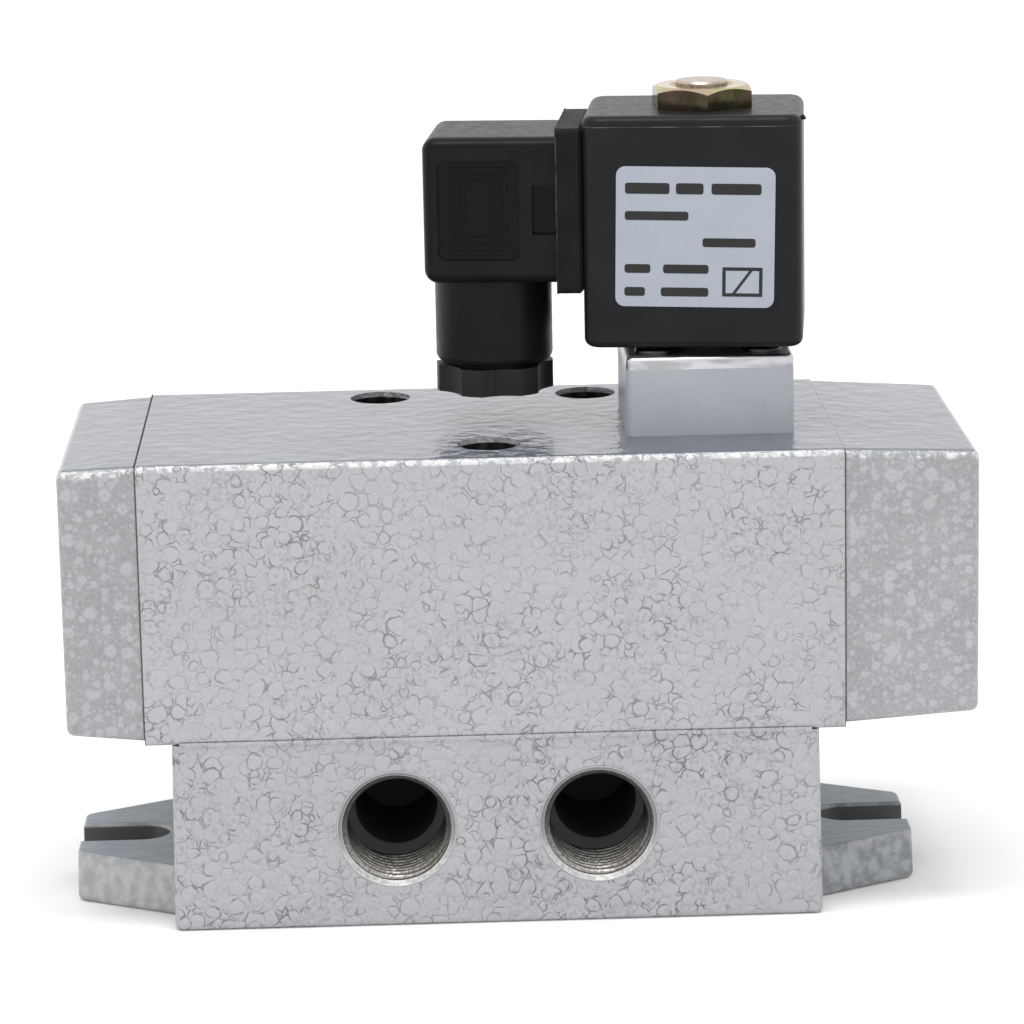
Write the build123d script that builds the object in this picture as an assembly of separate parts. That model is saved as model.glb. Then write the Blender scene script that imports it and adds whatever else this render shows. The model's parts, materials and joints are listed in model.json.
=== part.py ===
from build123d import *
import math
import os

# Solenoid directional valve, 5/2-way: a spring-returned spool valve on a drilled base, worked by a
# solenoid pilot with a plug-in connector.
# Frame: +X runs along the spool towards the pilot cover, +Z is up, and the origin is in the middle of
# the base's underside. All sizes are in millimetres.

# ---- castings -----------------------------------------------------------------------------------
BASE_HEIGHT = 36.7
BASE_FOOT = (124.2, 70.0)            # length and width at the underside
BASE_SHOULDER = (123.0, 69.4)        # length and width under the body
CASTING_EDGE = 1.5                   # edge radius of base and body
BASE_LOWER_EDGE = 1.2
EAR_ROOT_X = 50.0                    # inside the base
EAR_FOOT = {"root_half": 32.2, "tip_x": 82.0, "tip_half": 14.3}
EAR_TOP = {"root_half": 30.3, "tip_x": 81.8, "tip_half": 12.6}
EAR_HEIGHT = 9.7
EAR_TIP_RADIUS = 2.6
EAR_TOP_EDGE = 0.6
EAR_SLOT_WIDTH = 11.0
EAR_SLOT_CENTRE_X = 69.8             # centre of the slot's round end

BODY_LENGTH = 133.0
BODY_WIDTH = 70.0
BODY_TOP = 91.0
BODY_END = BODY_LENGTH / 2

# ---- ports --------------------------------------------------------------------------------------
PORT_PITCH = 19.3                    # distance between neighbouring valve ways along X
PORT_HEIGHT = 19.2
PORT_THREAD_RADIUS = 10.48           # G1/2, major diameter 20.955
PORT_THREAD_DEPTH = 14.0
PORT_FACE = BASE_FOOT[1] / 2 - (BASE_FOOT[1] - BASE_SHOULDER[1]) / 2 * PORT_HEIGHT / BASE_HEIGHT
PORT_MOUTH_RADIUS = 11.3
PORT_MOUTH_DEPTH = 0.9
PORT_CONE_LENGTH = 3.0
PORT_PASSAGE_RADIUS = 8.0
PORT_PASSAGE_END = 7.0               # how far a passage runs past the middle of the base
WAY_LENGTH = 11.0                    # each way between base and spool bore, along X
WAY_WIDTH = 15.0                     # and along Y
FRONT_WAYS = (-1, 1)                 # consumer ports, in pitches from the middle
BACK_WAYS = (-2, 0, 2)               # exhaust, supply, exhaust
GASKET_LENGTH = 104.0
GASKET_WIDTH = 30.0
GASKET_THICKNESS = 1.0

# ---- body screws, M6 ----------------------------------------------------------------------------
BODY_SCREW_PLACES = ((-20.5, 25.3), (20.5, 25.3), (0.0, -21.8))
COUNTERBORE_RADIUS = 6.0
BODY_SCREW_SEAT = 50.0               # height of the counterbore's floor
BODY_SCREW_LENGTH = 30.0
TAP_GAP = 0.02                       # thread crests clear the tapped hole by this much
TAP_RUN_OUT = 2.0                    # tapped hole deeper than its screw
M6 = {"shank": 2.98, "clear": 3.3, "head": 5.0, "head_height": 6.0, "socket": 5.0}
M5 = {"shank": 2.48, "clear": 2.75, "head": 4.25, "head_height": 5.0, "socket": 4.0}

# ---- spool bore and what is in it ----------------------------------------------------------------
SPOOL_Z = 64.0
SPOOL_BORE_RADIUS = 14.0
SPOOL_RADIUS = 8.5
SPOOL_NECK_RADIUS = 5.2
SPOOL_LEFT_END = -59.0
SPOOL_RIGHT_END = 60.0
SPOOL_NECKS = ((-35.0, -24.5), (-6.0, 13.5), (32.5, 42.0))
RUNNING_CLEARANCE = 0.05
SEAL_WIDTH = 3.0
CAGE_OUTER_RADIUS = 13.97
CAGE_INNER_RADIUS = 9.4
CAGE_END = 66.2
CAGE_GROOVE_DEPTH = 1.6
CAGE_GROOVE_WIDTH = 9.0
CAGE_WINDOW_RADIUS = 2.6
CAGE_WINDOWS = 6

# ---- end covers ----------------------------------------------------------------------------------
COVER_JOINT_HALF_WIDTH = 34.7
COVER_JOINT_BOTTOM = 37.5
COVER_JOINT_TOP = 90.8
COVER_CORNER = 2.0
SPRING_COVER = {"length": 14.8, "half_width": 33.6, "bottom": 38.6, "top": 90.0}
PILOT_COVER = {"length": 25.6, "half_width": 33.0, "bottom": 38.7, "top": 89.6}
SPRING_POCKET_RADIUS = 9.6
SPRING_POCKET_END = -78.0
PISTON_BORE_RADIUS = 17.0
PISTON_BORE_END = 86.0
COVER_SCREW_Y = 27.0
COVER_SCREW_Z = 19.0                 # above and below the spool axis
COVER_SCREW_GRIP = 12.0              # thread length in the body
COVER_RECESS = 5.6                   # counterbore depth in the covers
COVER_RECESS_GAP = 0.5               # counterbore radius over the head's
SEAL_SLACK = 0.02                    # room round a seated O-ring
FACE_SEAL_RADIUS = 20.0
FACE_SEAL_SECTION = 0.98
FACE_GROOVE_HALF_WIDTH = 1.3
FACE_GROOVE_DEPTH = 2.0

# ---- spring, seat and pilot piston ---------------------------------------------------------------
SPRING_SEAT_RADIUS = 8.4
SPRING_SEAT_THICKNESS = 2.0
RETURN_SPRING_RADIUS = 6.4
RETURN_SPRING_WIRE = 0.8
RETURN_SPRING_TURNS = 4.5
PISTON_RADIUS = 16.8
PISTON_START = 77.4
PISTON_END = 85.7
PISTON_ROD_RADIUS = 6.0
PISTON_SEAL_WIDTH = 3.0
PISTON_SEAL_INNER = 14.4

# ---- pilot valve and coil, all on one upright axis -----------------------------------------------
PILOT_X = 42.5
PILOT_Y = -2.7
PILOT_SIZE = 32.0
PILOT_CORNER = 1.7
PLATE_BOTTOM = 103.8
PLATE_THICKNESS = 2.4
PLATE_TOP = PLATE_BOTTOM + PLATE_THICKNESS
PLATE_EDGE = 0.9
FLANGE_SCREW_OFFSET = 10.4
FLANGE_SCREW_TIP = 84.0
M4_SHANK = 1.98
M4_CLEAR = 2.2
PAN_HEAD_RADIUS = 3.7
PAN_HEAD_HEIGHT = 1.1
PAN_SLOT_HALF_WIDTH = 0.35
PILOT_BORE_RADIUS = 1.5
PILOT_BORE_HEIGHT = 84.5
PILOT_INLET_X = 33.0
PILOT_OUTLET_X = 52.0
PILOT_CHAMBER_RADIUS = 10.5
PILOT_CHAMBER_FLOOR = 97.5
PILOT_CHANNEL_HEIGHT = 94.5
SMALL_SEAL_RADIUS = 3.2
SMALL_SEAL_SECTION = 0.78
SMALL_SEAL_GROOVE = 1.6
SMALL_GROOVE_HALF_WIDTH = 1.0
NOZZLE_TOP = 100.2
NOZZLE_ORIFICE = 0.8
NOZZLE_FOOT_RADIUS = 3.0
NOZZLE_TIP_RADIUS = 1.6
TUBE_FLANGE_BOTTOM = 101.8
TUBE_FLANGE_RADIUS = 10.3
TUBE_RADIUS = 7.0
TUBE_BORE_RADIUS = 6.25
TUBE_TOP = 148.5
CORE_BOTTOM = 131.0
STEM_RADIUS = 4.95
STEM_TOP = 157.0
STEM_CHAMFER = 0.4
ARMATURE_RADIUS = 6.17
ARMATURE_BOTTOM = 100.9
ARMATURE_STROKE = 1.5
ARMATURE_GAP = 0.1                   # left between armature and core when pulled in
ARMATURE_SEAL_RADIUS = 2.5
ARMATURE_SEAL_DEPTH = 1.8
ARMATURE_SPRING_DEPTH = 14.0
ARMATURE_SPRING_GAP = 0.3
ARMATURE_SPRING_RADIUS = 2.5
ARMATURE_SPRING_WIRE = 0.3
ARMATURE_SPRING_TURNS = 8.0

COIL_TURN = -6.2                     # degrees about the coil's axis, with all that it carries
COIL_LEFT = 20.2
COIL_RIGHT = 61.8
COIL_DEPTH = 32.9
COIL_BOTTOM = 107.8
COIL_TOP = 152.1
COIL_BORE_RADIUS = 7.2
COIL_EDGE = 3.4
COIL_TOP_EDGE = 1.9
COIL_LOWER_EDGE = 1.7
YOKE_HALF_WIDTH = 12.0
YOKE_OUTER = (25.8, 59.2, 109.9, 150.6)        # left, right, bottom, top
YOKE_INNER = (27.9, 57.1, 112.5, 148.1)
BOBBIN_RADIUS = 14.5
BOBBIN_TUBE_RADIUS = 8.7
BOBBIN_FLANGE = 1.6
WINDING_RADIUS = 13.9
TUBE_SLIP = 0.1                      # flange plate and coil ring clear the armature tube by this much
COIL_RING_OUTER = 9.4
LABEL_MIDDLE = (41.6, 129.2)         # along X and Z
LABEL_SIZE = (30.0, 26.7)
LABEL_TILT = -1.1                    # degrees, stuck on slightly askew
LABEL_CORNER = 1.75
LABEL_THICKNESS = 0.2
NUT_ACROSS_FLATS = 18.0
NUT_HEIGHT = 4.0
NUT_RIM_SHARE = 0.96                 # chamfer circle over the circle inside the flats
NUT_CHAMFER = 30.0                   # degrees
NUT_TURN = 2.0                       # degrees
NUT_SINK_RADIUS = 6.2
NUT_SINK_DEPTH = 1.2

# ---- connector -----------------------------------------------------------------------------------
PLUG_LEFT = -10.3
PLUG_RIGHT = 15.2
PLUG_WIDTH = 28.0
PLUG_BOTTOM = 119.9
PLUG_TOP = 147.9
PLUG_MIDDLE = (PLUG_BOTTOM + PLUG_TOP) / 2
PLUG_EDGE = 2.6
PLUG_WALL = 2.6
PANEL = (-7.4, 8.2, 124.5, 143.7)    # left, right, bottom, top
PANEL_CORNER = 1.9
PANEL_DEPTH = 0.5
PANEL_FRAMES = ((10.6, 16.4), (8.2, 13.8), (5.8, 11.2))
PANEL_RIB = 0.45
PANEL_RIB_HEIGHT = 0.25
PANEL_FRAME_CORNER = 0.5
NOTCH = (10.6, 15.2, 129.4, 138.9)
NOTCH_DEPTH = 1.1
GLAND_X = 1.8
GLAND_RADIUS = 11.3
GLAND_BOTTOM = 103.1
GLAND_BORE_RADIUS = 8.8
GLAND_EDGE = 1.5
GLAND_NUT_RADIUS = 11.3
GLAND_NUT_BOTTOM = 97.4
GLAND_NUT_TOP = 102.6
GLAND_NUT_LOBES = 6
GLAND_NUT_FIRST_SCALLOP = -79.0      # degrees from +X
GLAND_SCALLOP_RADIUS = 7.6
GLAND_SCALLOP_DEPTH = 1.5
GLAND_NUT_EDGE = 0.8
GLAND_SPIGOT_RADIUS = 8.7
GLAND_SPIGOT_TOP = 110.5
CABLE_RADIUS = 4.6
GLAND_SEAL_BORE = 4.9
GLAND_WASHER_THICKNESS = 1.0
GLAND_SEAL_TOP = 118.5
CUP_LEFT = PLUG_RIGHT
CUP_RIGHT = COIL_LEFT
CUP_WIDTH = 30.0
CUP_HEIGHT = 31.6
CUP_WINDOW = 22.4
CUP_LIP = 0.25
CUP_CORNER = 1.2
CUP_CHAMFER = 0.6
TERMINAL_BLOCK = 21.6
TERMINAL_FACE = 15.7
INSERT_LEFT = 6.2
INSERT_GAP = 0.1
BLADE_TIP = 8.7
BLADE_ROOT = 24.7
BLADE_WIDTH = 6.3
BLADE_THICKNESS = 0.8
BLADES = ((0.0, 7.2, False), (0.0, -7.2, False), (7.4, 0.0, True), (-7.4, 0.0, True))
SOCKET_GAP = 0.25
SOCKET_WALL = 0.6
SOCKET_LEFT = 7.8
PLUG_SCREW_RADIUS = 1.45
PLUG_SCREW_CLEAR = 1.7
PLUG_SCREW_TIP = 23.2
PLUG_SCREW_HEAD_RADIUS = 2.8
PLUG_SCREW_HEAD = 2.6
PLUG_SCREW_SLOT = 1.2
PLUG_SCREW_SLOT_HALF_WIDTH = 0.4
PLUG_SCREW_CHAMFER = 0.3
PLUG_SCREW_RECESS = 3.4
PLUG_SCREW_SEAT = PLUG_LEFT + 4.3    # floor of the recess in the plug
PLUG_SCREW_BOSS_RADIUS = 5.2
PLUG_SCREW_BOSS_WALL = 1.6           # boss wall under the screw's seal
PLUG_SCREW_SEAL = 0.8


# ---- shapes used again and again -----------------------------------------------------------------
def bar_x(radius, x0, x1, y, z):
    """Round bar along X."""
    return Pos((x0 + x1) / 2, y, z) * Rot(0, 90, 0) * Cylinder(radius, abs(x1 - x0))


def bar_y(radius, y0, y1, x, z):
    """Round bar along Y."""
    return Pos(x, (y0 + y1) / 2, z) * Rot(90, 0, 0) * Cylinder(radius, abs(y1 - y0))


def bar_z(radius, z0, z1, x, y):
    """Round bar along Z."""
    return Pos(x, y, (z0 + z1) / 2) * Cylinder(radius, abs(z1 - z0))


def block(x0, x1, y0, y1, z0, z1):
    """Box between two corners."""
    return Pos((x0 + x1) / 2, (y0 + y1) / 2, (z0 + z1) / 2) * Box(x1 - x0, y1 - y0, z1 - z0)


def ring_x(outer, inner, x0, x1, z=SPOOL_Z):
    """Ring about the spool axis."""
    return bar_x(outer, x0, x1, 0, z) - bar_x(inner, x0, x1, 0, z)


def ring_z(outer, inner, z0, z1, x=PILOT_X, y=PILOT_Y):
    """Ring about an upright axis, the coil's unless another is given."""
    return bar_z(outer, z0, z1, x, y) - bar_z(inner, z0, z1, x, y)


def hexagon(across_flats, z0, z1, turn=0.0):
    """Upright hexagonal prism on the Z axis."""
    outline = Rot(0, 0, turn) * RegularPolygon(across_flats / math.sqrt(3), 6)
    return Pos(0, 0, z0) * extrude(outline, z1 - z0)


def cap_screw(size, length):
    """Socket-head cap screw on Z, its head standing on the XY plane and its shank below."""
    head = bar_z(size["head"], 0, size["head_height"], 0, 0)
    head = chamfer(head.edges().sort_by(Axis.Z)[-1], 0.08 * size["head"])
    socket = hexagon(size["socket"], size["head_height"] / 2, size["head_height"])
    return head - socket + bar_z(size["shank"], -length, 0, 0, 0)


def coil_of_wire(radius, wire, turns, height):
    """Round-wire compression spring standing on the XY plane, flush with it and with its height."""
    lead = Helix((height - 2 * wire) / turns, height - 2 * wire, radius)
    section = Plane(lead @ 0, z_dir=lead % 0) * Circle(wire)
    return Pos(0, 0, wire) * sweep(section, path=lead, is_frenet=True)


def as_group(solids):
    """Separate solids kept together under one name."""
    return Compound(children=[solid for part in solids for solid in part.solids()])


# ---- castings ------------------------------------------------------------------------------------
def ear_outline(height, root_half, tip_x, tip_half):
    """Outline of an ear at one height, its outer corners rounded."""
    outline = Polygon((EAR_ROOT_X, -root_half), (tip_x, -tip_half),
                      (tip_x, tip_half), (EAR_ROOT_X, root_half), align=None)
    return Pos(0, 0, height) * fillet(outline.vertices().group_by(Axis.X)[-1], EAR_TIP_RADIUS)


def ear(side):
    """Fork-shaped mounting ear on one end of the base, its slot open at the tip."""
    solid = loft([ear_outline(0, **EAR_FOOT), ear_outline(EAR_HEIGHT, **EAR_TOP)])

    def free_edges(face):
        return [edge for edge in face.edges() if edge.center().X > EAR_ROOT_X + 1]

    solid = fillet(free_edges(solid.faces().sort_by(Axis.Z)[0]), BASE_LOWER_EDGE)
    half = EAR_SLOT_WIDTH / 2
    solid -= block(EAR_SLOT_CENTRE_X, EAR_FOOT["tip_x"] + half, -half, half, 0, EAR_HEIGHT)
    solid -= bar_z(half, 0, EAR_HEIGHT, EAR_SLOT_CENTRE_X, 0)
    solid = fillet(free_edges(solid.faces().sort_by(Axis.Z)[-1]), EAR_TOP_EDGE)
    return solid if side > 0 else Rot(0, 0, 180) * solid


def port(way, side):
    """Threaded port with its passage; side -1 is the front, +1 the back."""
    x = way * PORT_PITCH
    face = side * PORT_FACE
    mouth_cone = Cone(PORT_MOUTH_RADIUS, PORT_THREAD_RADIUS, PORT_MOUTH_DEPTH)
    inner_cone = Cone(PORT_THREAD_RADIUS, PORT_PASSAGE_RADIUS, PORT_CONE_LENGTH)
    turn = Rot(90 * side, 0, 0)
    thread_end = face - side * PORT_THREAD_DEPTH
    cone_end = thread_end - side * PORT_CONE_LENGTH
    space = bar_y(PORT_THREAD_RADIUS, thread_end, face, x, PORT_HEIGHT)
    space += Pos(x, face - side * PORT_MOUTH_DEPTH / 2, PORT_HEIGHT) * turn * mouth_cone
    space += bar_y(PORT_MOUTH_RADIUS, face, face + side, x, PORT_HEIGHT)
    space += Pos(x, (thread_end + cone_end) / 2, PORT_HEIGHT) * turn * inner_cone
    space += bar_y(PORT_PASSAGE_RADIUS, -side * PORT_PASSAGE_END, cone_end, x, PORT_HEIGHT)
    return space


def way_opening(way, bottom, top):
    """Upright way that joins a port to the spool bore."""
    x = way * PORT_PITCH
    return block(x - WAY_LENGTH / 2, x + WAY_LENGTH / 2, -WAY_WIDTH / 2, WAY_WIDTH / 2, bottom, top)


def make_base():
    foot = RectangleRounded(*BASE_FOOT, CASTING_EDGE)
    shoulder = Pos(0, 0, BASE_HEIGHT) * RectangleRounded(*BASE_SHOULDER, CASTING_EDGE)
    base = loft([foot, shoulder])
    base = fillet(base.faces().sort_by(Axis.Z)[0].edges(), BASE_LOWER_EDGE)
    for side in (-1, 1):
        base += ear(side)
    for way in FRONT_WAYS:
        base -= port(way, -1)
    for way in BACK_WAYS:
        base -= port(way, 1)
    for way in FRONT_WAYS + BACK_WAYS:
        base -= way_opening(way, PORT_HEIGHT, BASE_HEIGHT)
    for x, y in BODY_SCREW_PLACES:
        base -= bar_z(M6["shank"] + TAP_GAP, BODY_SCREW_SEAT - BODY_SCREW_LENGTH - TAP_RUN_OUT,
                      BASE_HEIGHT, x, y)
    return base


def pilot_bores():
    """Pilot air: supply way up to the pilot block, and the block back down to the pilot cover."""
    supply = bar_z(PILOT_BORE_RADIUS, PILOT_BORE_HEIGHT, BODY_TOP, PILOT_INLET_X, PILOT_Y)
    supply += bar_x(PILOT_BORE_RADIUS, 0, PILOT_INLET_X, PILOT_Y, PILOT_BORE_HEIGHT)
    supply += bar_z(PILOT_BORE_RADIUS, SPOOL_Z + CAGE_INNER_RADIUS, PILOT_BORE_HEIGHT, 0, PILOT_Y)
    outlet = bar_z(PILOT_BORE_RADIUS, PILOT_BORE_HEIGHT, BODY_TOP, PILOT_OUTLET_X, PILOT_Y)
    outlet += bar_x(PILOT_BORE_RADIUS, PILOT_OUTLET_X, BODY_END, PILOT_Y, PILOT_BORE_HEIGHT)
    return supply + outlet


def cover_screw_places():
    return [(y, SPOOL_Z + z) for y in (-COVER_SCREW_Y, COVER_SCREW_Y)
            for z in (-COVER_SCREW_Z, COVER_SCREW_Z)]


def flange_screw_places():
    offsets = (-FLANGE_SCREW_OFFSET, FLANGE_SCREW_OFFSET)
    return [(PILOT_X + dx, PILOT_Y + dy) for dx in offsets for dy in offsets]


def make_body():
    body = block(-BODY_END, BODY_END, -BODY_WIDTH / 2, BODY_WIDTH / 2, BASE_HEIGHT, BODY_TOP)
    body = fillet(body.edges().filter_by(Axis.X), CASTING_EDGE)
    body -= bar_x(SPOOL_BORE_RADIUS, -BODY_END, BODY_END, 0, SPOOL_Z)
    for way in FRONT_WAYS + BACK_WAYS:
        body -= way_opening(way, BASE_HEIGHT, SPOOL_Z)
    body -= block(-GASKET_LENGTH / 2, GASKET_LENGTH / 2, -GASKET_WIDTH / 2, GASKET_WIDTH / 2,
                  BASE_HEIGHT, BASE_HEIGHT + GASKET_THICKNESS)
    for x, y in BODY_SCREW_PLACES:
        body -= bar_z(COUNTERBORE_RADIUS, BODY_SCREW_SEAT, BODY_TOP, x, y)
        body -= bar_z(M6["clear"], BASE_HEIGHT, BODY_SCREW_SEAT, x, y)
    for y, z in cover_screw_places():
        for side in (-1, 1):
            body -= bar_x(M5["shank"] + TAP_GAP, side * (BODY_END - COVER_SCREW_GRIP - TAP_RUN_OUT),
                          side * BODY_END, y, z)
    for x, y in flange_screw_places():
        body -= bar_z(M4_SHANK + TAP_GAP, FLANGE_SCREW_TIP - TAP_RUN_OUT / 2, BODY_TOP, x, y)
    return body - pilot_bores()


def make_cover(side, size):
    """End cover with four recessed screw holes; side -1 is the spring end, +1 the pilot end."""
    joint_x = side * BODY_END
    outer_x = joint_x + side * size["length"]

    def section(x, half_width, bottom, top):
        plane = Plane(origin=(x, 0, (bottom + top) / 2), x_dir=(0, 1, 0), z_dir=(1, 0, 0))
        return plane * RectangleRounded(2 * half_width, top - bottom, COVER_CORNER)

    joint = section(joint_x, COVER_JOINT_HALF_WIDTH, COVER_JOINT_BOTTOM, COVER_JOINT_TOP)
    outer = section(outer_x, size["half_width"], size["bottom"], size["top"])
    cover = loft([joint, outer] if side > 0 else [outer, joint])
    end_face = cover.faces().sort_by(Axis.X)[-1 if side > 0 else 0]
    cover = fillet(end_face.edges(), CASTING_EDGE)
    for y, z in cover_screw_places():
        cover -= bar_x(M5["clear"], joint_x, outer_x, y, z)
        cover -= bar_x(M5["head"] + COVER_RECESS_GAP, outer_x - side * COVER_RECESS, outer_x, y, z)
    groove = ring_x(FACE_SEAL_RADIUS + FACE_GROOVE_HALF_WIDTH, FACE_SEAL_RADIUS - FACE_GROOVE_HALF_WIDTH,
                    joint_x, joint_x + side * FACE_GROOVE_DEPTH)
    return cover - groove


def make_castings():
    spring_cover = make_cover(-1, SPRING_COVER)
    spring_cover -= bar_x(SPRING_POCKET_RADIUS, SPRING_POCKET_END, -BODY_END, 0, SPOOL_Z)
    pilot_cover = make_cover(1, PILOT_COVER)
    pilot_cover -= bar_x(PISTON_BORE_RADIUS, BODY_END, PISTON_BORE_END, 0, SPOOL_Z)
    pilot_cover -= bar_x(PILOT_BORE_RADIUS, BODY_END, PISTON_BORE_END - PILOT_BORE_RADIUS,
                         PILOT_Y, PILOT_BORE_HEIGHT)
    pilot_cover -= bar_z(PILOT_BORE_RADIUS, SPOOL_Z + PISTON_BORE_RADIUS - PILOT_BORE_RADIUS,
                         PILOT_BORE_HEIGHT, PISTON_BORE_END - PILOT_BORE_RADIUS, PILOT_Y)
    gasket = block(-GASKET_LENGTH / 2, GASKET_LENGTH / 2, -GASKET_WIDTH / 2, GASKET_WIDTH / 2,
                   BASE_HEIGHT, BASE_HEIGHT + GASKET_THICKNESS)
    for way in FRONT_WAYS + BACK_WAYS:
        gasket -= way_opening(way, BASE_HEIGHT, SPOOL_Z)
    return {
        "valve_base": make_base(),
        "valve_body": make_body(),
        "spring_cover": spring_cover,
        "pilot_cover": pilot_cover,
        "interface_gasket": gasket,
    }


# ---- fasteners and seals of the castings ---------------------------------------------------------
def make_casting_fasteners():
    body_screw = cap_screw(M6, BODY_SCREW_LENGTH)
    parts = {"body_screws": as_group(
        [Pos(x, y, BODY_SCREW_SEAT) * body_screw for x, y in BODY_SCREW_PLACES])}
    for name, side, size in (("spring_cover", -1, SPRING_COVER), ("pilot_cover", 1, PILOT_COVER)):
        seat = side * (BODY_END + size["length"] - COVER_RECESS)
        screw = cap_screw(M5, size["length"] - COVER_RECESS + COVER_SCREW_GRIP)
        parts[name + "_screws"] = as_group(
            [Pos(seat, y, z) * Rot(0, 90 * side, 0) * screw for y, z in cover_screw_places()])
        seal_x = side * (BODY_END + FACE_GROOVE_DEPTH / 2)
        parts[name + "_seal"] = (Pos(seal_x, 0, SPOOL_Z) * Rot(0, 90, 0)
                                 * Torus(FACE_SEAL_RADIUS, FACE_SEAL_SECTION))
    return parts


# ---- spool, cages, spring and piston -------------------------------------------------------------
def make_cages_and_seals():
    """Ported spacer rings held apart by seal rings, one seal on each side of every way."""
    seal_places = [(2 * step - 5) / 2 * PORT_PITCH for step in range(6)]
    seals = [ring_x(CAGE_OUTER_RADIUS, SPOOL_RADIUS + RUNNING_CLEARANCE,
                    x - SEAL_WIDTH / 2, x + SEAL_WIDTH / 2) for x in seal_places]
    starts = [-CAGE_END] + [x + SEAL_WIDTH / 2 for x in seal_places]
    ends = [x - SEAL_WIDTH / 2 for x in seal_places] + [CAGE_END]
    cages = []
    for index, (start, end) in enumerate(zip(starts, ends)):
        cage = ring_x(CAGE_OUTER_RADIUS, CAGE_INNER_RADIUS, start, end)
        if 0 < index < len(starts) - 1:
            middle = (start + end) / 2
            cage -= ring_x(CAGE_OUTER_RADIUS + 1, CAGE_OUTER_RADIUS - CAGE_GROOVE_DEPTH,
                           middle - CAGE_GROOVE_WIDTH / 2, middle + CAGE_GROOVE_WIDTH / 2)
            for window in range(CAGE_WINDOWS):
                turn = Rot(360 / CAGE_WINDOWS * window, 0, 0)
                drill = Pos(0, 0, CAGE_OUTER_RADIUS / 2) * Cylinder(CAGE_WINDOW_RADIUS, CAGE_OUTER_RADIUS)
                cage -= Pos(middle, 0, SPOOL_Z) * turn * drill
        cages.append(cage)
    return {"seal_cages": as_group(cages), "spool_seals": as_group(seals)}


def make_spool_group():
    spool = bar_x(SPOOL_RADIUS, SPOOL_LEFT_END, SPOOL_RIGHT_END, 0, SPOOL_Z)
    for start, end in SPOOL_NECKS:
        spool -= ring_x(SPOOL_RADIUS + 1, SPOOL_NECK_RADIUS, start, end)
    seat_face = SPOOL_LEFT_END - SPRING_SEAT_THICKNESS
    spring_seat = bar_x(SPRING_SEAT_RADIUS, seat_face, SPOOL_LEFT_END, 0, SPOOL_Z)
    spring = coil_of_wire(RETURN_SPRING_RADIUS, RETURN_SPRING_WIRE, RETURN_SPRING_TURNS,
                          seat_face - SPRING_POCKET_END)
    piston = bar_x(PISTON_RADIUS, PISTON_START, PISTON_END, 0, SPOOL_Z)
    seal_start = (PISTON_START + PISTON_END - PISTON_SEAL_WIDTH) / 2
    seal_end = seal_start + PISTON_SEAL_WIDTH
    piston -= ring_x(PISTON_RADIUS + 1, PISTON_SEAL_INNER, seal_start, seal_end)
    piston += bar_x(PISTON_ROD_RADIUS, SPOOL_RIGHT_END, PISTON_START, 0, SPOOL_Z)
    return {
        "spool": spool,
        "spring_seat": spring_seat,
        "return_spring": Pos(SPRING_POCKET_END, 0, SPOOL_Z) * Rot(0, 90, 0) * spring,
        "pilot_piston": piston,
        "piston_seal": ring_x(PISTON_BORE_RADIUS - RUNNING_CLEARANCE, PISTON_SEAL_INNER,
                              seal_start, seal_end),
    }


# ---- pilot valve ---------------------------------------------------------------------------------
def pilot_square(size, z0, z1, corner):
    """Upright square block with rounded corners on the coil's axis."""
    return Pos(PILOT_X, PILOT_Y, z0) * extrude(RectangleRounded(size, size, corner), z1 - z0)


def make_pilot_block():
    pilot = pilot_square(PILOT_SIZE, BODY_TOP, PLATE_BOTTOM, PILOT_CORNER)
    pilot -= bar_z(PILOT_CHAMBER_RADIUS, PILOT_CHAMBER_FLOOR, PLATE_BOTTOM, PILOT_X, PILOT_Y)
    seals = []
    for x in (PILOT_INLET_X, PILOT_OUTLET_X):
        pilot -= ring_z(SMALL_SEAL_RADIUS + SMALL_GROOVE_HALF_WIDTH,
                        SMALL_SEAL_RADIUS - SMALL_GROOVE_HALF_WIDTH,
                        BODY_TOP, BODY_TOP + SMALL_SEAL_GROOVE, x)
        seals.append(Pos(x, PILOT_Y, BODY_TOP + SMALL_SEAL_GROOVE / 2)
                     * Torus(SMALL_SEAL_RADIUS, SMALL_SEAL_SECTION))
    pilot -= bar_z(PILOT_BORE_RADIUS, BODY_TOP, PILOT_CHANNEL_HEIGHT, PILOT_INLET_X, PILOT_Y)
    pilot -= bar_x(PILOT_BORE_RADIUS, PILOT_INLET_X, PILOT_X, PILOT_Y, PILOT_CHANNEL_HEIGHT)
    pilot -= bar_z(PILOT_BORE_RADIUS, PILOT_CHANNEL_HEIGHT, PILOT_CHAMBER_FLOOR, PILOT_X, PILOT_Y)
    outlet_x = PILOT_X + PILOT_CHAMBER_RADIUS - PILOT_BORE_RADIUS
    pilot -= bar_z(PILOT_BORE_RADIUS, PILOT_CHANNEL_HEIGHT, PILOT_CHAMBER_FLOOR, outlet_x, PILOT_Y)
    pilot -= bar_z(PILOT_BORE_RADIUS, BODY_TOP, PILOT_CHANNEL_HEIGHT, PILOT_OUTLET_X, PILOT_Y)
    pilot -= bar_x(PILOT_BORE_RADIUS, outlet_x, PILOT_OUTLET_X, PILOT_Y, PILOT_CHANNEL_HEIGHT)
    for x, y in flange_screw_places():
        pilot -= bar_z(M4_CLEAR, BODY_TOP, PLATE_BOTTOM, x, y)
    nozzle = Pos(PILOT_X, PILOT_Y, (PILOT_CHAMBER_FLOOR + NOZZLE_TOP) / 2) * Cone(
        NOZZLE_FOOT_RADIUS, NOZZLE_TIP_RADIUS, NOZZLE_TOP - PILOT_CHAMBER_FLOOR)
    nozzle -= bar_z(NOZZLE_ORIFICE, PILOT_CHAMBER_FLOOR, NOZZLE_TOP, PILOT_X, PILOT_Y)
    return {"pilot_block": pilot, "pilot_block_seals": as_group(seals), "pilot_nozzle": nozzle}


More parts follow.
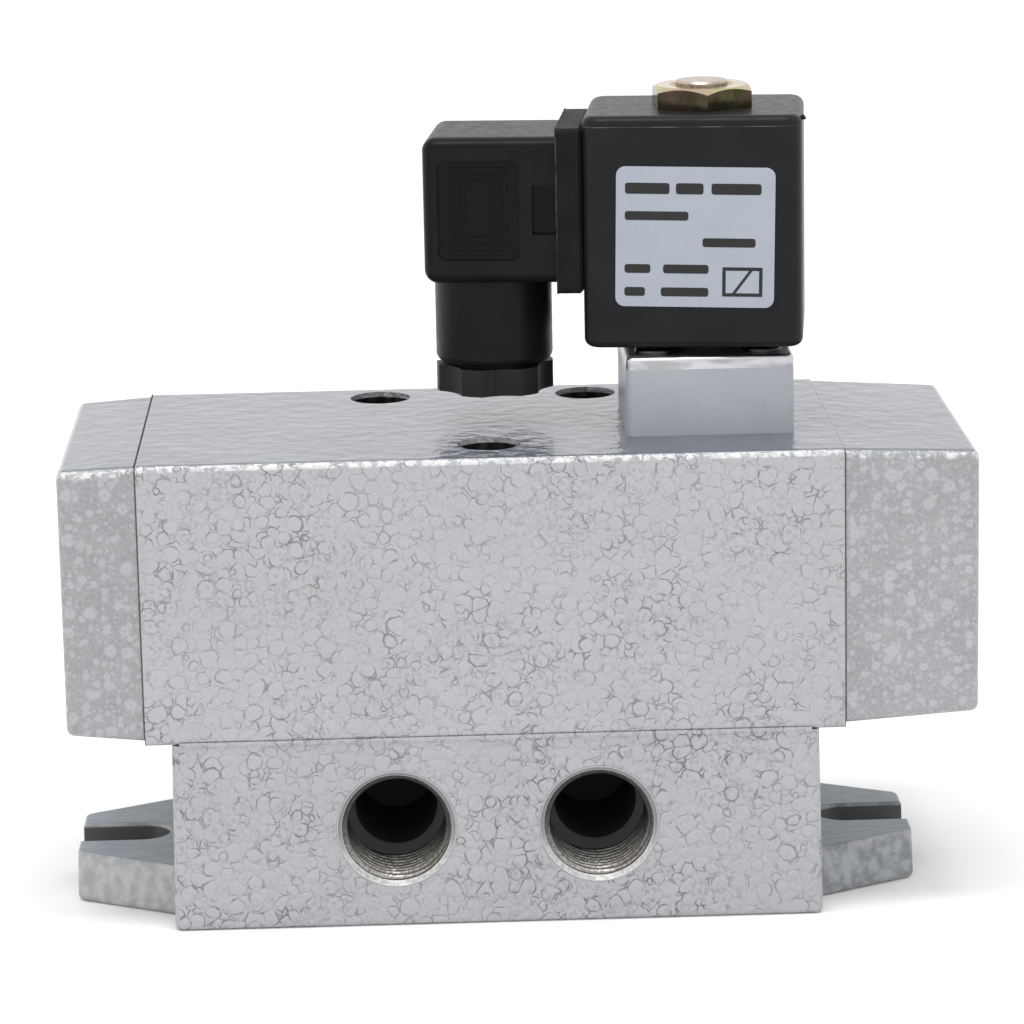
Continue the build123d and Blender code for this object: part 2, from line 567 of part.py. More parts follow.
def pan_head_screw():
    """Cross-recessed pan-head screw, head on the XY plane and shank below."""
    head = bar_z(PAN_HEAD_RADIUS, 0, PAN_HEAD_HEIGHT, 0, 0)
    head = fillet(head.edges().sort_by(Axis.Z)[-1], PAN_HEAD_HEIGHT * 0.6)
    arm = PAN_HEAD_RADIUS * 0.55
    for turn in (0, 90):
        slot = block(-arm, arm, -PAN_SLOT_HALF_WIDTH, PAN_SLOT_HALF_WIDTH,
                     PAN_HEAD_HEIGHT * 0.4, PAN_HEAD_HEIGHT)
        head -= Rot(0, 0, 45 + turn) * slot
    return head + bar_z(M4_SHANK, FLANGE_SCREW_TIP - PLATE_TOP, 0, 0, 0)


def make_flange():
    plate = pilot_square(PILOT_SIZE, PLATE_BOTTOM, PLATE_TOP, PILOT_CORNER)
    plate = fillet(plate.faces().sort_by(Axis.Z)[-1].edges(), PLATE_EDGE)
    plate -= bar_z(TUBE_RADIUS + TUBE_SLIP, PLATE_BOTTOM, PLATE_TOP, PILOT_X, PILOT_Y)
    for x, y in flange_screw_places():
        plate -= bar_z(M4_CLEAR, PLATE_BOTTOM, PLATE_TOP, x, y)
    screw = pan_head_screw()
    screws = [Pos(x, y, PLATE_TOP) * screw for x, y in flange_screw_places()]
    return {"flange_plate": plate, "flange_screws": as_group(screws)}


def make_armature_group():
    tube = ring_z(TUBE_RADIUS, TUBE_BORE_RADIUS, TUBE_FLANGE_BOTTOM, TUBE_TOP)
    tube += ring_z(TUBE_FLANGE_RADIUS, TUBE_BORE_RADIUS, TUBE_FLANGE_BOTTOM, PLATE_BOTTOM)
    core = bar_z(TUBE_BORE_RADIUS, CORE_BOTTOM, TUBE_TOP, PILOT_X, PILOT_Y)
    core += bar_z(STEM_RADIUS, TUBE_TOP, STEM_TOP, PILOT_X, PILOT_Y)
    core = chamfer(core.faces().sort_by(Axis.Z)[-1].edges(), STEM_CHAMFER)
    armature_top = CORE_BOTTOM - ARMATURE_STROKE - ARMATURE_GAP
    spring_floor = armature_top - ARMATURE_SPRING_DEPTH
    armature = bar_z(ARMATURE_RADIUS, ARMATURE_BOTTOM, armature_top, PILOT_X, PILOT_Y)
    spring_pocket = ARMATURE_SPRING_RADIUS + ARMATURE_SPRING_WIRE + ARMATURE_SPRING_GAP
    armature -= bar_z(spring_pocket, spring_floor, armature_top, PILOT_X, PILOT_Y)
    seal_top = ARMATURE_BOTTOM + ARMATURE_SEAL_DEPTH
    armature -= bar_z(ARMATURE_SEAL_RADIUS, ARMATURE_BOTTOM, seal_top, PILOT_X, PILOT_Y)
    seal = bar_z(ARMATURE_SEAL_RADIUS, NOZZLE_TOP + RUNNING_CLEARANCE, seal_top, PILOT_X, PILOT_Y)
    spring = coil_of_wire(ARMATURE_SPRING_RADIUS, ARMATURE_SPRING_WIRE, ARMATURE_SPRING_TURNS,
                          CORE_BOTTOM - spring_floor)
    seal_section = (TUBE_FLANGE_BOTTOM - PILOT_CHAMBER_FLOOR) / 2 - SEAL_SLACK
    seal_radius = PILOT_CHAMBER_RADIUS - seal_section - SEAL_SLACK
    tube_seal = Pos(PILOT_X, PILOT_Y, PILOT_CHAMBER_FLOOR + seal_section + SEAL_SLACK) * Torus(
        seal_radius, seal_section)
    return {
        "armature_tube": tube,
        "core_stem": core,
        "armature": armature,
        "armature_seal": seal,
        "armature_spring": Pos(PILOT_X, PILOT_Y, spring_floor) * spring,
        "tube_seal": tube_seal,
    }


# ---- coil ----------------------------------------------------------------------------------------
def blade_box(y, z, upright, x0, x1, gap=0.0):
    """Space of one terminal blade, widened by gap all round."""
    half_y = (BLADE_THICKNESS if upright else BLADE_WIDTH) / 2 + gap
    half_z = (BLADE_WIDTH if upright else BLADE_THICKNESS) / 2 + gap
    return block(x0, x1, PILOT_Y + y - half_y, PILOT_Y + y + half_y,
                 PLUG_MIDDLE + z - half_z, PLUG_MIDDLE + z + half_z)


def side_square(x0, x1, width, height, corner, z=PLUG_MIDDLE):
    """Block along X with rounded corners, centred on the connector's axis."""
    plane = Plane(origin=(x0, PILOT_Y, z), x_dir=(0, 1, 0), z_dir=(1, 0, 0))
    return extrude(plane * RectangleRounded(width, height, corner), x1 - x0)


def make_coil():
    front, back = PILOT_Y - COIL_DEPTH / 2, PILOT_Y + COIL_DEPTH / 2
    left, right, bottom, top = YOKE_OUTER
    in_left, in_right, in_bottom, in_top = YOKE_INNER
    yoke = block(left, right, PILOT_Y - YOKE_HALF_WIDTH, PILOT_Y + YOKE_HALF_WIDTH, bottom, top)
    yoke -= block(in_left, in_right, PILOT_Y - YOKE_HALF_WIDTH, PILOT_Y + YOKE_HALF_WIDTH,
                  in_bottom, in_top)
    housing = block(COIL_LEFT, COIL_RIGHT, front, back, COIL_BOTTOM, COIL_TOP)
    housing = fillet(housing.edges().filter_by(Axis.Z), COIL_EDGE)
    housing = fillet(housing.faces().sort_by(Axis.Z)[-1].edges(), COIL_TOP_EDGE)
    housing = fillet(housing.faces().sort_by(Axis.Z)[0].edges(), COIL_LOWER_EDGE)
    housing += side_square(TERMINAL_FACE, COIL_LEFT + COIL_EDGE, TERMINAL_BLOCK, TERMINAL_BLOCK, CUP_CORNER)
    housing -= yoke
    housing -= bar_z(BOBBIN_RADIUS, in_bottom, in_top, PILOT_X, PILOT_Y)
    through = bar_z(COIL_BORE_RADIUS, COIL_BOTTOM, COIL_TOP, PILOT_X, PILOT_Y)
    housing -= through
    blades = [blade_box(y, z, upright, BLADE_TIP, BLADE_ROOT) for y, z, upright in BLADES]
    for blade in blades:
        housing -= blade
    housing -= bar_x(PLUG_SCREW_RADIUS + RUNNING_CLEARANCE, TERMINAL_FACE, PLUG_SCREW_TIP + 1,
                     PILOT_Y, PLUG_MIDDLE)
    bobbin = ring_z(BOBBIN_TUBE_RADIUS, COIL_BORE_RADIUS, in_bottom, in_top)
    for z0, z1 in ((in_bottom, in_bottom + BOBBIN_FLANGE), (in_top - BOBBIN_FLANGE, in_top)):
        bobbin += ring_z(BOBBIN_RADIUS, COIL_BORE_RADIUS, z0, z1)
    winding = ring_z(WINDING_RADIUS, BOBBIN_TUBE_RADIUS, in_bottom + BOBBIN_FLANGE,
                     in_top - BOBBIN_FLANGE)
    label_x, label_z = LABEL_MIDDLE
    label_plane = Plane(origin=(label_x, front, label_z), x_dir=(1, 0, 0), z_dir=(0, -1, 0))
    label = extrude(label_plane * Rot(0, 0, LABEL_TILT) * RectangleRounded(*LABEL_SIZE, LABEL_CORNER),
                    LABEL_THICKNESS)
    return {
        "coil_housing": housing,
        "coil_yoke": yoke - through,
        "coil_bobbin": bobbin,
        "coil_winding": winding,
        "coil_label": label,
        "terminal_blades": as_group(blades),
    }


def make_coil_fixing():
    """Rubber ring under the coil, and the thin hexagon nut with a countersunk hole on top of it."""
    corner = NUT_ACROSS_FLATS / math.sqrt(3)
    flat = NUT_ACROSS_FLATS / 2
    rim = flat * NUT_RIM_SHARE
    slope = (corner - rim) * math.tan(math.radians(NUT_CHAMFER))
    envelope = bar_z(corner, 0, NUT_HEIGHT - slope, 0, 0)
    envelope += Pos(0, 0, NUT_HEIGHT - slope / 2) * Cone(corner, rim, slope)
    nut = hexagon(NUT_ACROSS_FLATS, 0, NUT_HEIGHT, 30 + NUT_TURN) & envelope
    nut -= bar_z(STEM_RADIUS + RUNNING_CLEARANCE, 0, NUT_HEIGHT, 0, 0)
    nut -= Pos(0, 0, NUT_HEIGHT - NUT_SINK_DEPTH / 2) * Cone(
        STEM_RADIUS, NUT_SINK_RADIUS, NUT_SINK_DEPTH)
    return {
        "coil_ring": ring_z(COIL_RING_OUTER, TUBE_RADIUS + TUBE_SLIP, PLATE_TOP, COIL_BOTTOM),
        "coil_nut": Pos(PILOT_X, PILOT_Y, COIL_TOP + RUNNING_CLEARANCE) * nut,
    }


# ---- connector -----------------------------------------------------------------------------------
def panel_on(side):
    """Recessed panel and latch notch on the front (-1) or back (+1) of the plug, with its raised frames."""
    face = PILOT_Y + side * PLUG_WIDTH / 2
    floor = face - side * PANEL_DEPTH
    left, right, bottom, top = PANEL
    middle_x, middle_z = (left + right) / 2, (bottom + top) / 2

    def prism(x, z, width, height, corner, start, depth):
        plane = Plane(origin=(x, start, z), x_dir=(1, 0, 0), z_dir=(0, side, 0))
        return extrude(plane * RectangleRounded(width, height, corner), depth)

    recess = prism(middle_x, middle_z, right - left, top - bottom, PANEL_CORNER, floor, PANEL_DEPTH)
    n_left, n_right, n_bottom, n_top = NOTCH
    recess += block(n_left, n_right + 1, min(face, face - side * NOTCH_DEPTH),
                    max(face, face - side * NOTCH_DEPTH), n_bottom, n_top)
    frames = []
    for width, height in PANEL_FRAMES:
        outer = prism(middle_x, middle_z, width, height, PANEL_FRAME_CORNER, floor, PANEL_RIB_HEIGHT)
        inner = prism(middle_x, middle_z, width - 2 * PANEL_RIB, height - 2 * PANEL_RIB,
                      PANEL_FRAME_CORNER / 2, floor, PANEL_RIB_HEIGHT)
        frames.append(outer - inner)
    return recess, frames


def make_plug():
    front, back = PILOT_Y - PLUG_WIDTH / 2, PILOT_Y + PLUG_WIDTH / 2
    housing = block(PLUG_LEFT, PLUG_RIGHT, front, back, PLUG_BOTTOM, PLUG_TOP)
    open_edges = housing.faces().sort_by(Axis.X)[-1].edges()
    housing = fillet([edge for edge in housing.edges() if edge not in open_edges], PLUG_EDGE)
    neck = bar_z(GLAND_RADIUS, GLAND_BOTTOM, PLUG_BOTTOM + PLUG_WALL, GLAND_X, PILOT_Y)
    neck = fillet(neck.edges().sort_by(Axis.Z)[0], GLAND_EDGE)
    housing += neck
    inside = block(PLUG_LEFT + PLUG_WALL, PLUG_RIGHT, front + PLUG_WALL, back - PLUG_WALL,
                   PLUG_BOTTOM + PLUG_WALL, PLUG_TOP - PLUG_WALL)
    housing -= inside
    boss_end = PLUG_SCREW_SEAT + PLUG_SCREW_BOSS_WALL
    housing += bar_x(PLUG_SCREW_BOSS_RADIUS, PLUG_LEFT + PLUG_WALL, boss_end, PILOT_Y, PLUG_MIDDLE)
    housing -= bar_z(GLAND_BORE_RADIUS, GLAND_BOTTOM, GLAND_SEAL_TOP, GLAND_X, PILOT_Y)
    housing -= bar_z(GLAND_SEAL_BORE, GLAND_SEAL_TOP, PLUG_BOTTOM + PLUG_WALL, GLAND_X, PILOT_Y)
    housing -= bar_x(PLUG_SCREW_RECESS, PLUG_LEFT, PLUG_SCREW_SEAT, PILOT_Y, PLUG_MIDDLE)
    housing -= bar_x(PLUG_SCREW_CLEAR, PLUG_SCREW_SEAT, boss_end, PILOT_Y, PLUG_MIDDLE)
    for side in (-1, 1):
        recess, frames = panel_on(side)
        housing -= recess
        for frame in frames:
            housing += frame
    margin = PLUG_WALL + INSERT_GAP
    insert = block(INSERT_LEFT, PLUG_RIGHT, front + margin, back - margin,
                   PLUG_BOTTOM + margin, PLUG_TOP - margin)
    insert -= bar_x(PLUG_SCREW_CLEAR, INSERT_LEFT, PLUG_RIGHT, PILOT_Y, PLUG_MIDDLE)
    sockets = []
    for y, z, upright in BLADES:
        outer = blade_box(y, z, upright, SOCKET_LEFT, PLUG_RIGHT - 1, SOCKET_GAP + SOCKET_WALL)
        inner = blade_box(y, z, upright, SOCKET_LEFT, PLUG_RIGHT, SOCKET_GAP)
        insert -= outer + inner
        sockets.append(outer - inner)
    return {
        "plug_housing": housing,
        "contact_insert": insert,
        "contact_sockets": as_group(sockets),
    }


def make_plug_screw():
    """Captive screw that holds the plug to the coil, with its sealing ring under the head."""
    head_end = PLUG_SCREW_SEAT - PLUG_SCREW_SEAL
    head_start = head_end - PLUG_SCREW_HEAD
    head = bar_x(PLUG_SCREW_HEAD_RADIUS, head_start, head_end, PILOT_Y, PLUG_MIDDLE)
    head = chamfer(head.edges().sort_by(Axis.X)[0], PLUG_SCREW_CHAMFER)
    head -= block(head_start, head_start + PLUG_SCREW_SLOT,
                  PILOT_Y - PLUG_SCREW_HEAD_RADIUS, PILOT_Y + PLUG_SCREW_HEAD_RADIUS,
                  PLUG_MIDDLE - PLUG_SCREW_SLOT_HALF_WIDTH, PLUG_MIDDLE + PLUG_SCREW_SLOT_HALF_WIDTH)
    shank = bar_x(PLUG_SCREW_RADIUS, head_end, PLUG_SCREW_TIP, PILOT_Y, PLUG_MIDDLE)
    ring = bar_x(PLUG_SCREW_HEAD_RADIUS, head_end, PLUG_SCREW_SEAT, PILOT_Y, PLUG_MIDDLE)
    ring -= bar_x(PLUG_SCREW_RADIUS + RUNNING_CLEARANCE, head_end, PLUG_SCREW_SEAT,
                  PILOT_Y, PLUG_MIDDLE)
    return {"plug_screw": head + shank, "plug_screw_seal": ring}


def make_gland():
    nut = bar_z(GLAND_NUT_RADIUS, GLAND_NUT_BOTTOM, GLAND_NUT_TOP, GLAND_X, PILOT_Y)
    reach = GLAND_NUT_RADIUS - GLAND_SCALLOP_DEPTH + GLAND_SCALLOP_RADIUS
    for lobe in range(GLAND_NUT_LOBES):
        angle = math.radians(GLAND_NUT_FIRST_SCALLOP + 360 / GLAND_NUT_LOBES * lobe)
        nut -= bar_z(GLAND_SCALLOP_RADIUS, GLAND_NUT_BOTTOM, GLAND_NUT_TOP,
                     GLAND_X + reach * math.cos(angle), PILOT_Y + reach * math.sin(angle))
    nut = fillet(nut.edges().filter_by(Axis.Z), GLAND_NUT_EDGE)
    nut += bar_z(GLAND_SPIGOT_RADIUS, GLAND_NUT_TOP, GLAND_SPIGOT_TOP, GLAND_X, PILOT_Y)
    nut -= bar_z(CABLE_RADIUS, GLAND_NUT_BOTTOM, GLAND_SPIGOT_TOP, GLAND_X, PILOT_Y)
    washer_top = GLAND_SPIGOT_TOP + RUNNING_CLEARANCE + GLAND_WASHER_THICKNESS
    washer = ring_z(GLAND_SPIGOT_RADIUS, GLAND_SEAL_BORE, GLAND_SPIGOT_TOP + RUNNING_CLEARANCE,
                    washer_top, GLAND_X)
    seal = ring_z(GLAND_SPIGOT_RADIUS, GLAND_SEAL_BORE, washer_top, GLAND_SEAL_TOP, GLAND_X)
    return {"gland_nut": nut, "gland_washer": washer, "gland_seal": seal}


def make_plug_gasket():
    """Rubber frame gasket between plug and coil, with a thin moulding lip on the plug side."""
    gasket = side_square(CUP_LEFT, CUP_RIGHT, CUP_WIDTH, CUP_HEIGHT, CUP_CORNER)
    gasket = chamfer(gasket.faces().sort_by(Axis.X)[-1].edges(), CUP_CHAMFER)
    gasket += side_square(CUP_LEFT, CUP_LEFT + CUP_LIP, CUP_WIDTH + CUP_LIP, CUP_HEIGHT + CUP_LIP,
                          CUP_CORNER)
    gasket -= side_square(CUP_LEFT, CUP_RIGHT, CUP_WINDOW, CUP_WINDOW, CUP_CORNER)
    return {"plug_gasket": gasket}


def make_valve():
    nodes = {}
    for maker in (make_castings, make_casting_fasteners, make_cages_and_seals, make_spool_group,
                  make_pilot_block, make_flange, make_armature_group, make_coil_fixing):
        nodes.update(maker())
    turn = Pos(PILOT_X, PILOT_Y, 0) * Rot(0, 0, COIL_TURN) * Pos(-PILOT_X, -PILOT_Y, 0)
    for maker in (make_coil, make_plug, make_plug_screw, make_gland, make_plug_gasket):
        nodes.update({name: turn * shape for name, shape in maker().items()})
    return nodes


os.makedirs("parts", exist_ok=True)
for node_name, node_shape in make_valve().items():
    export_step(node_shape, "parts/" + node_name + ".step")
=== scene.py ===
import json
import math

import bmesh
import bpy
from mathutils import Matrix, Vector


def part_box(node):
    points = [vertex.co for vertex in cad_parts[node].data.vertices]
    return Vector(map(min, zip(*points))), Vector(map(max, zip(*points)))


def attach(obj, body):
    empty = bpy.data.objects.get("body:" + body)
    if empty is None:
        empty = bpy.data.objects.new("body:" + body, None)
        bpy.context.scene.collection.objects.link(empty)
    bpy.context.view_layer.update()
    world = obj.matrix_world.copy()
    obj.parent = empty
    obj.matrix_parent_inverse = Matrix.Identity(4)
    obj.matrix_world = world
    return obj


# Looks of the solenoid directional valve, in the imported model's frame. The scene is in metres; the sizes
# below, the materials and the added pieces' meshes are worked out in millimetres.
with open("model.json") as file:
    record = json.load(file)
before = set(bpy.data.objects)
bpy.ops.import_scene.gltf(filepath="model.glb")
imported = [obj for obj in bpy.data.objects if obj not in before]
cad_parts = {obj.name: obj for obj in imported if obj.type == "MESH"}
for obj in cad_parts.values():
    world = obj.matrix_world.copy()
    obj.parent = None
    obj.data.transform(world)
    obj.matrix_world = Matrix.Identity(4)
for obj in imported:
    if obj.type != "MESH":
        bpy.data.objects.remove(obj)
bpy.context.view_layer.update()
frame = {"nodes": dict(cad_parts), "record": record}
NODES = frame["nodes"]
MOUNTS = {mount["name"]: mount for mount in frame["record"]["mounts"]}
MM = 0.001


def in_mm(place):
    """Millimetres of a place that the frame gives in metres."""
    return [round(value / MM, 3) for value in place]


def port_x(*names):
    """X of the ports with the given names."""
    return [in_mm(MOUNTS[name]["pos_m"])[0] for name in names]


# ---- sizes in millimetres, from the frame ------------------------------------------------------------------
BODY_LOW, BODY_HIGH = (in_mm(corner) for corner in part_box("valve_body"))
BODY_FOOT, BODY_TOP = BODY_LOW[2], BODY_HIGH[2]
JOINT_X = BODY_HIGH[0]                   # the covers meet the body's two ends
BLOCK_LOW, BLOCK_HIGH = (in_mm(corner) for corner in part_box("pilot_block"))
AXIS_X, AXIS_Y = ((BLOCK_LOW[i] + BLOCK_HIGH[i]) / 2 for i in (0, 1))      # the coil's axis
FRONT_PORTS = port_x("port_a", "port_b")
BACK_PORTS = port_x("port_r", "port_p", "port_s")
PORT_Z = in_mm(MOUNTS["port_a"]["pos_m"])[2]
PORT_WALL_RADIUS = MOUNTS["port_a"]["dims"]["r_mm"]
EAR_SLOT_HALF_WIDTH = MOUNTS["ear_slot_left"]["dims"]["r_mm"]

# ---- sizes in millimetres, of details of the solids and of what is added to them ---------------------------
PORT_FACE = 34.84
PORT_MOUTH_RADIUS = 11.3
PORT_MOUTH_SLOPE = 1.15                  # how fast the threads' crests come in from the ports' chamfers
THREAD_OUTSIDE = PORT_WALL_RADIUS - 0.01
THREAD_MAJOR = 10.44
THREAD_MINOR = 9.32
THREAD_PITCH = 1.814
THREAD_START = 1.0
THREAD_DEPTH = 13.9
PASSAGE_START = 17.0                     # depth at which the cones behind the threads end
COUNTERBORES = ((-20.5, 25.3), (20.5, 25.3), (0.0, -21.8))
COUNTERBORE_RADIUS = 6.0
COUNTERBORE_FLOOR = 50.0
PAINTED_RIM = 1.0                        # depth to which enamel runs into a counterbore
BASE_HALF_WIDTH = 34.7                   # just under the body
SEAM_HALF_LENGTH = 60.0
SEAM_BEAD = (0.44, 0.8)                  # thickness and height
JOINT_HALF_WIDTH = 34.2
JOINT_SHADE_STRIP = (0.34, 0.46)                # width and height
EAR_X = 62.4
EAR_TOP = 9.7
COIL_TURN = math.radians(-6.2)
MOULD_LINE_Z = 150.1
LABEL_X, LABEL_Y, LABEL_Z = 41.6, -19.35, 129.2
LABEL_SIZE = (30.0, 26.7)
LABEL_TILT = math.radians(-1.1)
GASKET_LIP_X = 15.2
PLUG_HALF_WIDTH = 14.0
PANEL_FOOT_Z = 124.5
NUT_SEAM_X = 1.9
NUB_PLACE = (60.6, -16.2, 151.1)

# Bars printed on the label: each row's top and height, then the left end and width of each bar.
LABEL_ROWS = (
    (3.1, 2.1, ((1.7, 8.4), (11.3, 5.2), (18.0, 9.4))),
    (8.5, 1.7, ((1.7, 12.0),)),
    (13.5, 1.7, ((16.4, 10.0),)),
    (18.6, 1.7, ((1.7, 4.9), (9.0, 8.6))),
    (23.0, 1.7, ((1.7, 3.9), (8.6, 9.0))),
)

# Layers of enamel bubbles, nearest first: cell size, shift, smallest and largest radius as shares of a cell.
BUBBLE_LAYERS = (
    (4.6, (31.0, 7.0, 0.0), 0.12, 0.40),
    (3.2, (5.0, 53.0, 0.0), 0.30, 0.62),
    (2.8, (0.0, 0.0, 0.0), 0.80, 1.20),
)
# Layers of pale spots on the covers: cell size, smallest and largest radius as shares of a cell.
SPOT_LAYERS = ((3.6, 0.05, 0.46), (2.2, 0.05, 0.48), (1.2, 0.0, 0.46))
END_SHIFT = 31.0                         # keeps the ends' pattern from repeating the sides'


# ---- material helpers --------------------------------------------------------------------------------------
class Paint:
    """One procedural material. Its methods add nodes and return their output sockets; lengths are in mm."""

    def __init__(self, name):
        self.material = bpy.data.materials.new(name)
        self.material.use_nodes = True
        self.tree = self.material.node_tree
        self.shader = self.tree.nodes["Principled BSDF"]
        coords = self.tree.nodes.new("ShaderNodeTexCoord")
        self.mm = self.vector("MULTIPLY", coords.outputs["Object"], (1 / MM,) * 3)
        parts = self.tree.nodes.new("ShaderNodeSeparateXYZ")
        self.tree.links.new(self.mm, parts.inputs[0])
        self.x, self.y, self.z = parts.outputs
        facing = self.tree.nodes.new("ShaderNodeSeparateXYZ")
        self.tree.links.new(coords.outputs["Normal"], facing.inputs[0])
        self.facing_right, _, self.facing_up = facing.outputs

    def plug(self, value, socket):
        """Links an output socket to an input, or sets the input to a plain value."""
        if isinstance(value, bpy.types.NodeSocket):
            self.tree.links.new(value, socket)
        elif isinstance(value, tuple) and socket.type == "RGBA":
            socket.default_value = (*value[:3], 1)
        else:
            socket.default_value = value

    def math(self, operation, *values):
        node = self.tree.nodes.new("ShaderNodeMath")
        node.operation = operation
        for value, socket in zip(values, node.inputs):
            self.plug(value, socket)
        return node.outputs[0]

    def product(self, a, b):
        return self.math("MULTIPLY", a, b)

    def away(self, a, b):
        """How far a is from b, either way."""
        return self.math("ABSOLUTE", self.math("SUBTRACT", a, b))

    def length(self, a, b):
        """Length of the flat vector (a, b)."""
        return self.math("SQRT", self.math("ADD", self.math("POWER", a, 2.0), self.math("POWER", b, 2.0)))

    def vector(self, operation, a, b):
        node = self.tree.nodes.new("ShaderNodeVectorMath")
        node.operation = operation
        self.plug(a, node.inputs[0])
        self.plug(b, node.inputs[1])
        return node.outputs[0]

    def mix(self, share, a, b):
        """Colour a, with share of it replaced by colour b."""
        node = self.tree.nodes.new("ShaderNodeMix")
        node.data_type = "RGBA"
        self.plug(share, node.inputs["Factor"])
        self.plug(a, node.inputs[6])
        self.plug(b, node.inputs[7])
        return node.outputs[2]

    def blend(self, share, a, b):
        """Number a, with share of it replaced by number b."""
        node = self.tree.nodes.new("ShaderNodeMix")
        for value, socket in zip((share, a, b), (node.inputs[0], node.inputs[2], node.inputs[3])):
            self.plug(value, socket)
        return node.outputs[0]

    def ramp(self, value, low, high, start=0.0, end=1.0):
        """Smooth step from start to end as value goes from low to high."""
        node = self.tree.nodes.new("ShaderNodeMapRange")
        node.interpolation_type = "SMOOTHSTEP"
        for item, socket in zip((value, low, high, start, end), node.inputs):
            self.plug(item, socket)
        return node.outputs[0]

    def on_face(self):
        """Two coordinates that lie flat on whichever way the surface mostly faces."""
        level = self.math("GREATER_THAN", self.math("ABSOLUTE", self.facing_up), 0.75)
        end = self.math("GREATER_THAN", self.math("ABSOLUTE", self.facing_right), 0.6)
        flat = self.tree.nodes.new("ShaderNodeCombineXYZ")
        self.plug(self.blend(end, self.x, self.math("ADD", self.y, END_SHIFT)), flat.inputs[0])
        self.plug(self.blend(level, self.z, self.y), flat.inputs[1])
        return flat.outputs[0]

    def noise(self, size, detail=2.0, where=None, colour=False):
        """Soft noise whose blobs are about size across."""
        node = self.tree.nodes.new("ShaderNodeTexNoise")
        self.plug(where or self.mm, node.inputs["Vector"])
        node.inputs["Scale"].default_value = 1 / size
        node.inputs["Detail"].default_value = detail
        return node.outputs["Color" if colour else "Fac"]

    def cells(self, size, feature="F1", where=None, flat=False):
        """Voronoi cells about size across: (distance in cell sizes, random colour of the cell)."""
        node = self.tree.nodes.new("ShaderNodeTexVoronoi")
        node.feature = feature
        node.voronoi_dimensions = "2D" if flat else "3D"
        self.plug(where or self.mm, node.inputs["Vector"])
        node.inputs["Scale"].default_value = 1 / size
        if feature == "DISTANCE_TO_EDGE":
            return node.outputs["Distance"], None
        return node.outputs["Distance"], node.outputs["Color"]

    def grey_vector(self, value):
        """Vector with the same value three times."""
        node = self.tree.nodes.new("ShaderNodeCombineXYZ")
        for socket in node.inputs:
            self.plug(value, socket)
        return node.outputs[0]

    def channel(self, colour):
        """One random number out of a random colour."""
        node = self.tree.nodes.new("ShaderNodeSeparateColor")
        self.plug(colour, node.inputs[0])
        return node.outputs[0]

    def warped(self, size, amount, where=None):
        """Coordinates pushed about by noise, so that cells get curved walls."""
        push = self.vector("SUBTRACT", self.noise(size, 2.0, colour=True), (0.5,) * 3)
        return self.vector("ADD", where or self.mm, self.vector("MULTIPLY", push, (amount * 2,) * 3))

    def bump(self, height, depth):
        """Normal from a height, where a height of 1 stands for depth millimetres."""
        node = self.tree.nodes.new("ShaderNodeBump")
        node.inputs["Strength"].default_value = 1.0
        node.inputs["Distance"].default_value = depth * MM
        self.plug(height, node.inputs["Height"])
        return node.outputs[0]

    def finish(self, colour, roughness, normal=None, metallic=0.0, **constants):
        """Fills in the shader, with constants for its inputs of the same names, and returns the material."""
        self.plug(colour, self.shader.inputs["Base Color"])
        self.plug(roughness, self.shader.inputs["Roughness"])
        self.plug(metallic, self.shader.inputs["Metallic"])
        if normal is not None:
            self.plug(normal, self.shader.inputs["Normal"])
        for name, value in constants.items():
            self.shader.inputs[name.replace("_", " ")].default_value = value
        return self.material


def grey(value, cool=0.0):
    """Grey of a given value, drawn towards blue by the share cool."""
    return (value * (1 - cool), value * (1 - cool / 3), value * (1 + cool))


# ---- enamel on the castings --------------------------------------------------------------------------------
def bubble_layer(paint, where, size, shift, least, most, width):
    """One layer of round bubbles: (dark walls, painted highlight rings just inside the walls, dome, distance
    inside a bubble).
    """
    where = paint.vector("ADD", where, shift)
    middle, seed = paint.cells(size, "F1", where, flat=True)
    edge, _ = paint.cells(size, "DISTANCE_TO_EDGE", where, flat=True)
    radius = paint.ramp(paint.channel(seed), 0.0, 1.0, least, most)
    inside = paint.math("MINIMUM", edge, paint.math("SUBTRACT", radius, middle))
    wall = paint.ramp(paint.math("ABSOLUTE", inside), 0.0, width, 1.0, 0.0)
    # Painted highlight: a pale ring just inside each bubble's wall.
    ring = paint.ramp(paint.away(inside, 0.13), 0.01, 0.07, 1.0, 0.0)
    return wall, ring, paint.ramp(inside, 0.0, 0.30), inside


def small_eyes(paint, where):
    """Small dark circles round a dot, in some areas of the enamel."""
    eye, lot = paint.cells(1.25, "F1", where, flat=True)
    lucky = paint.math("GREATER_THAN", paint.channel(lot), 0.40)
    outline = paint.ramp(paint.away(eye, 0.27), 0.02, 0.10, 0.40, 0.0)
    dot = paint.ramp(eye, 0.05, 0.16, 0.60, 0.0)
    area = paint.ramp(paint.noise(13.0, 1.0), 0.50, 0.58)
    return paint.product(paint.product(paint.math("MAXIMUM", outline, dot), lucky), area)


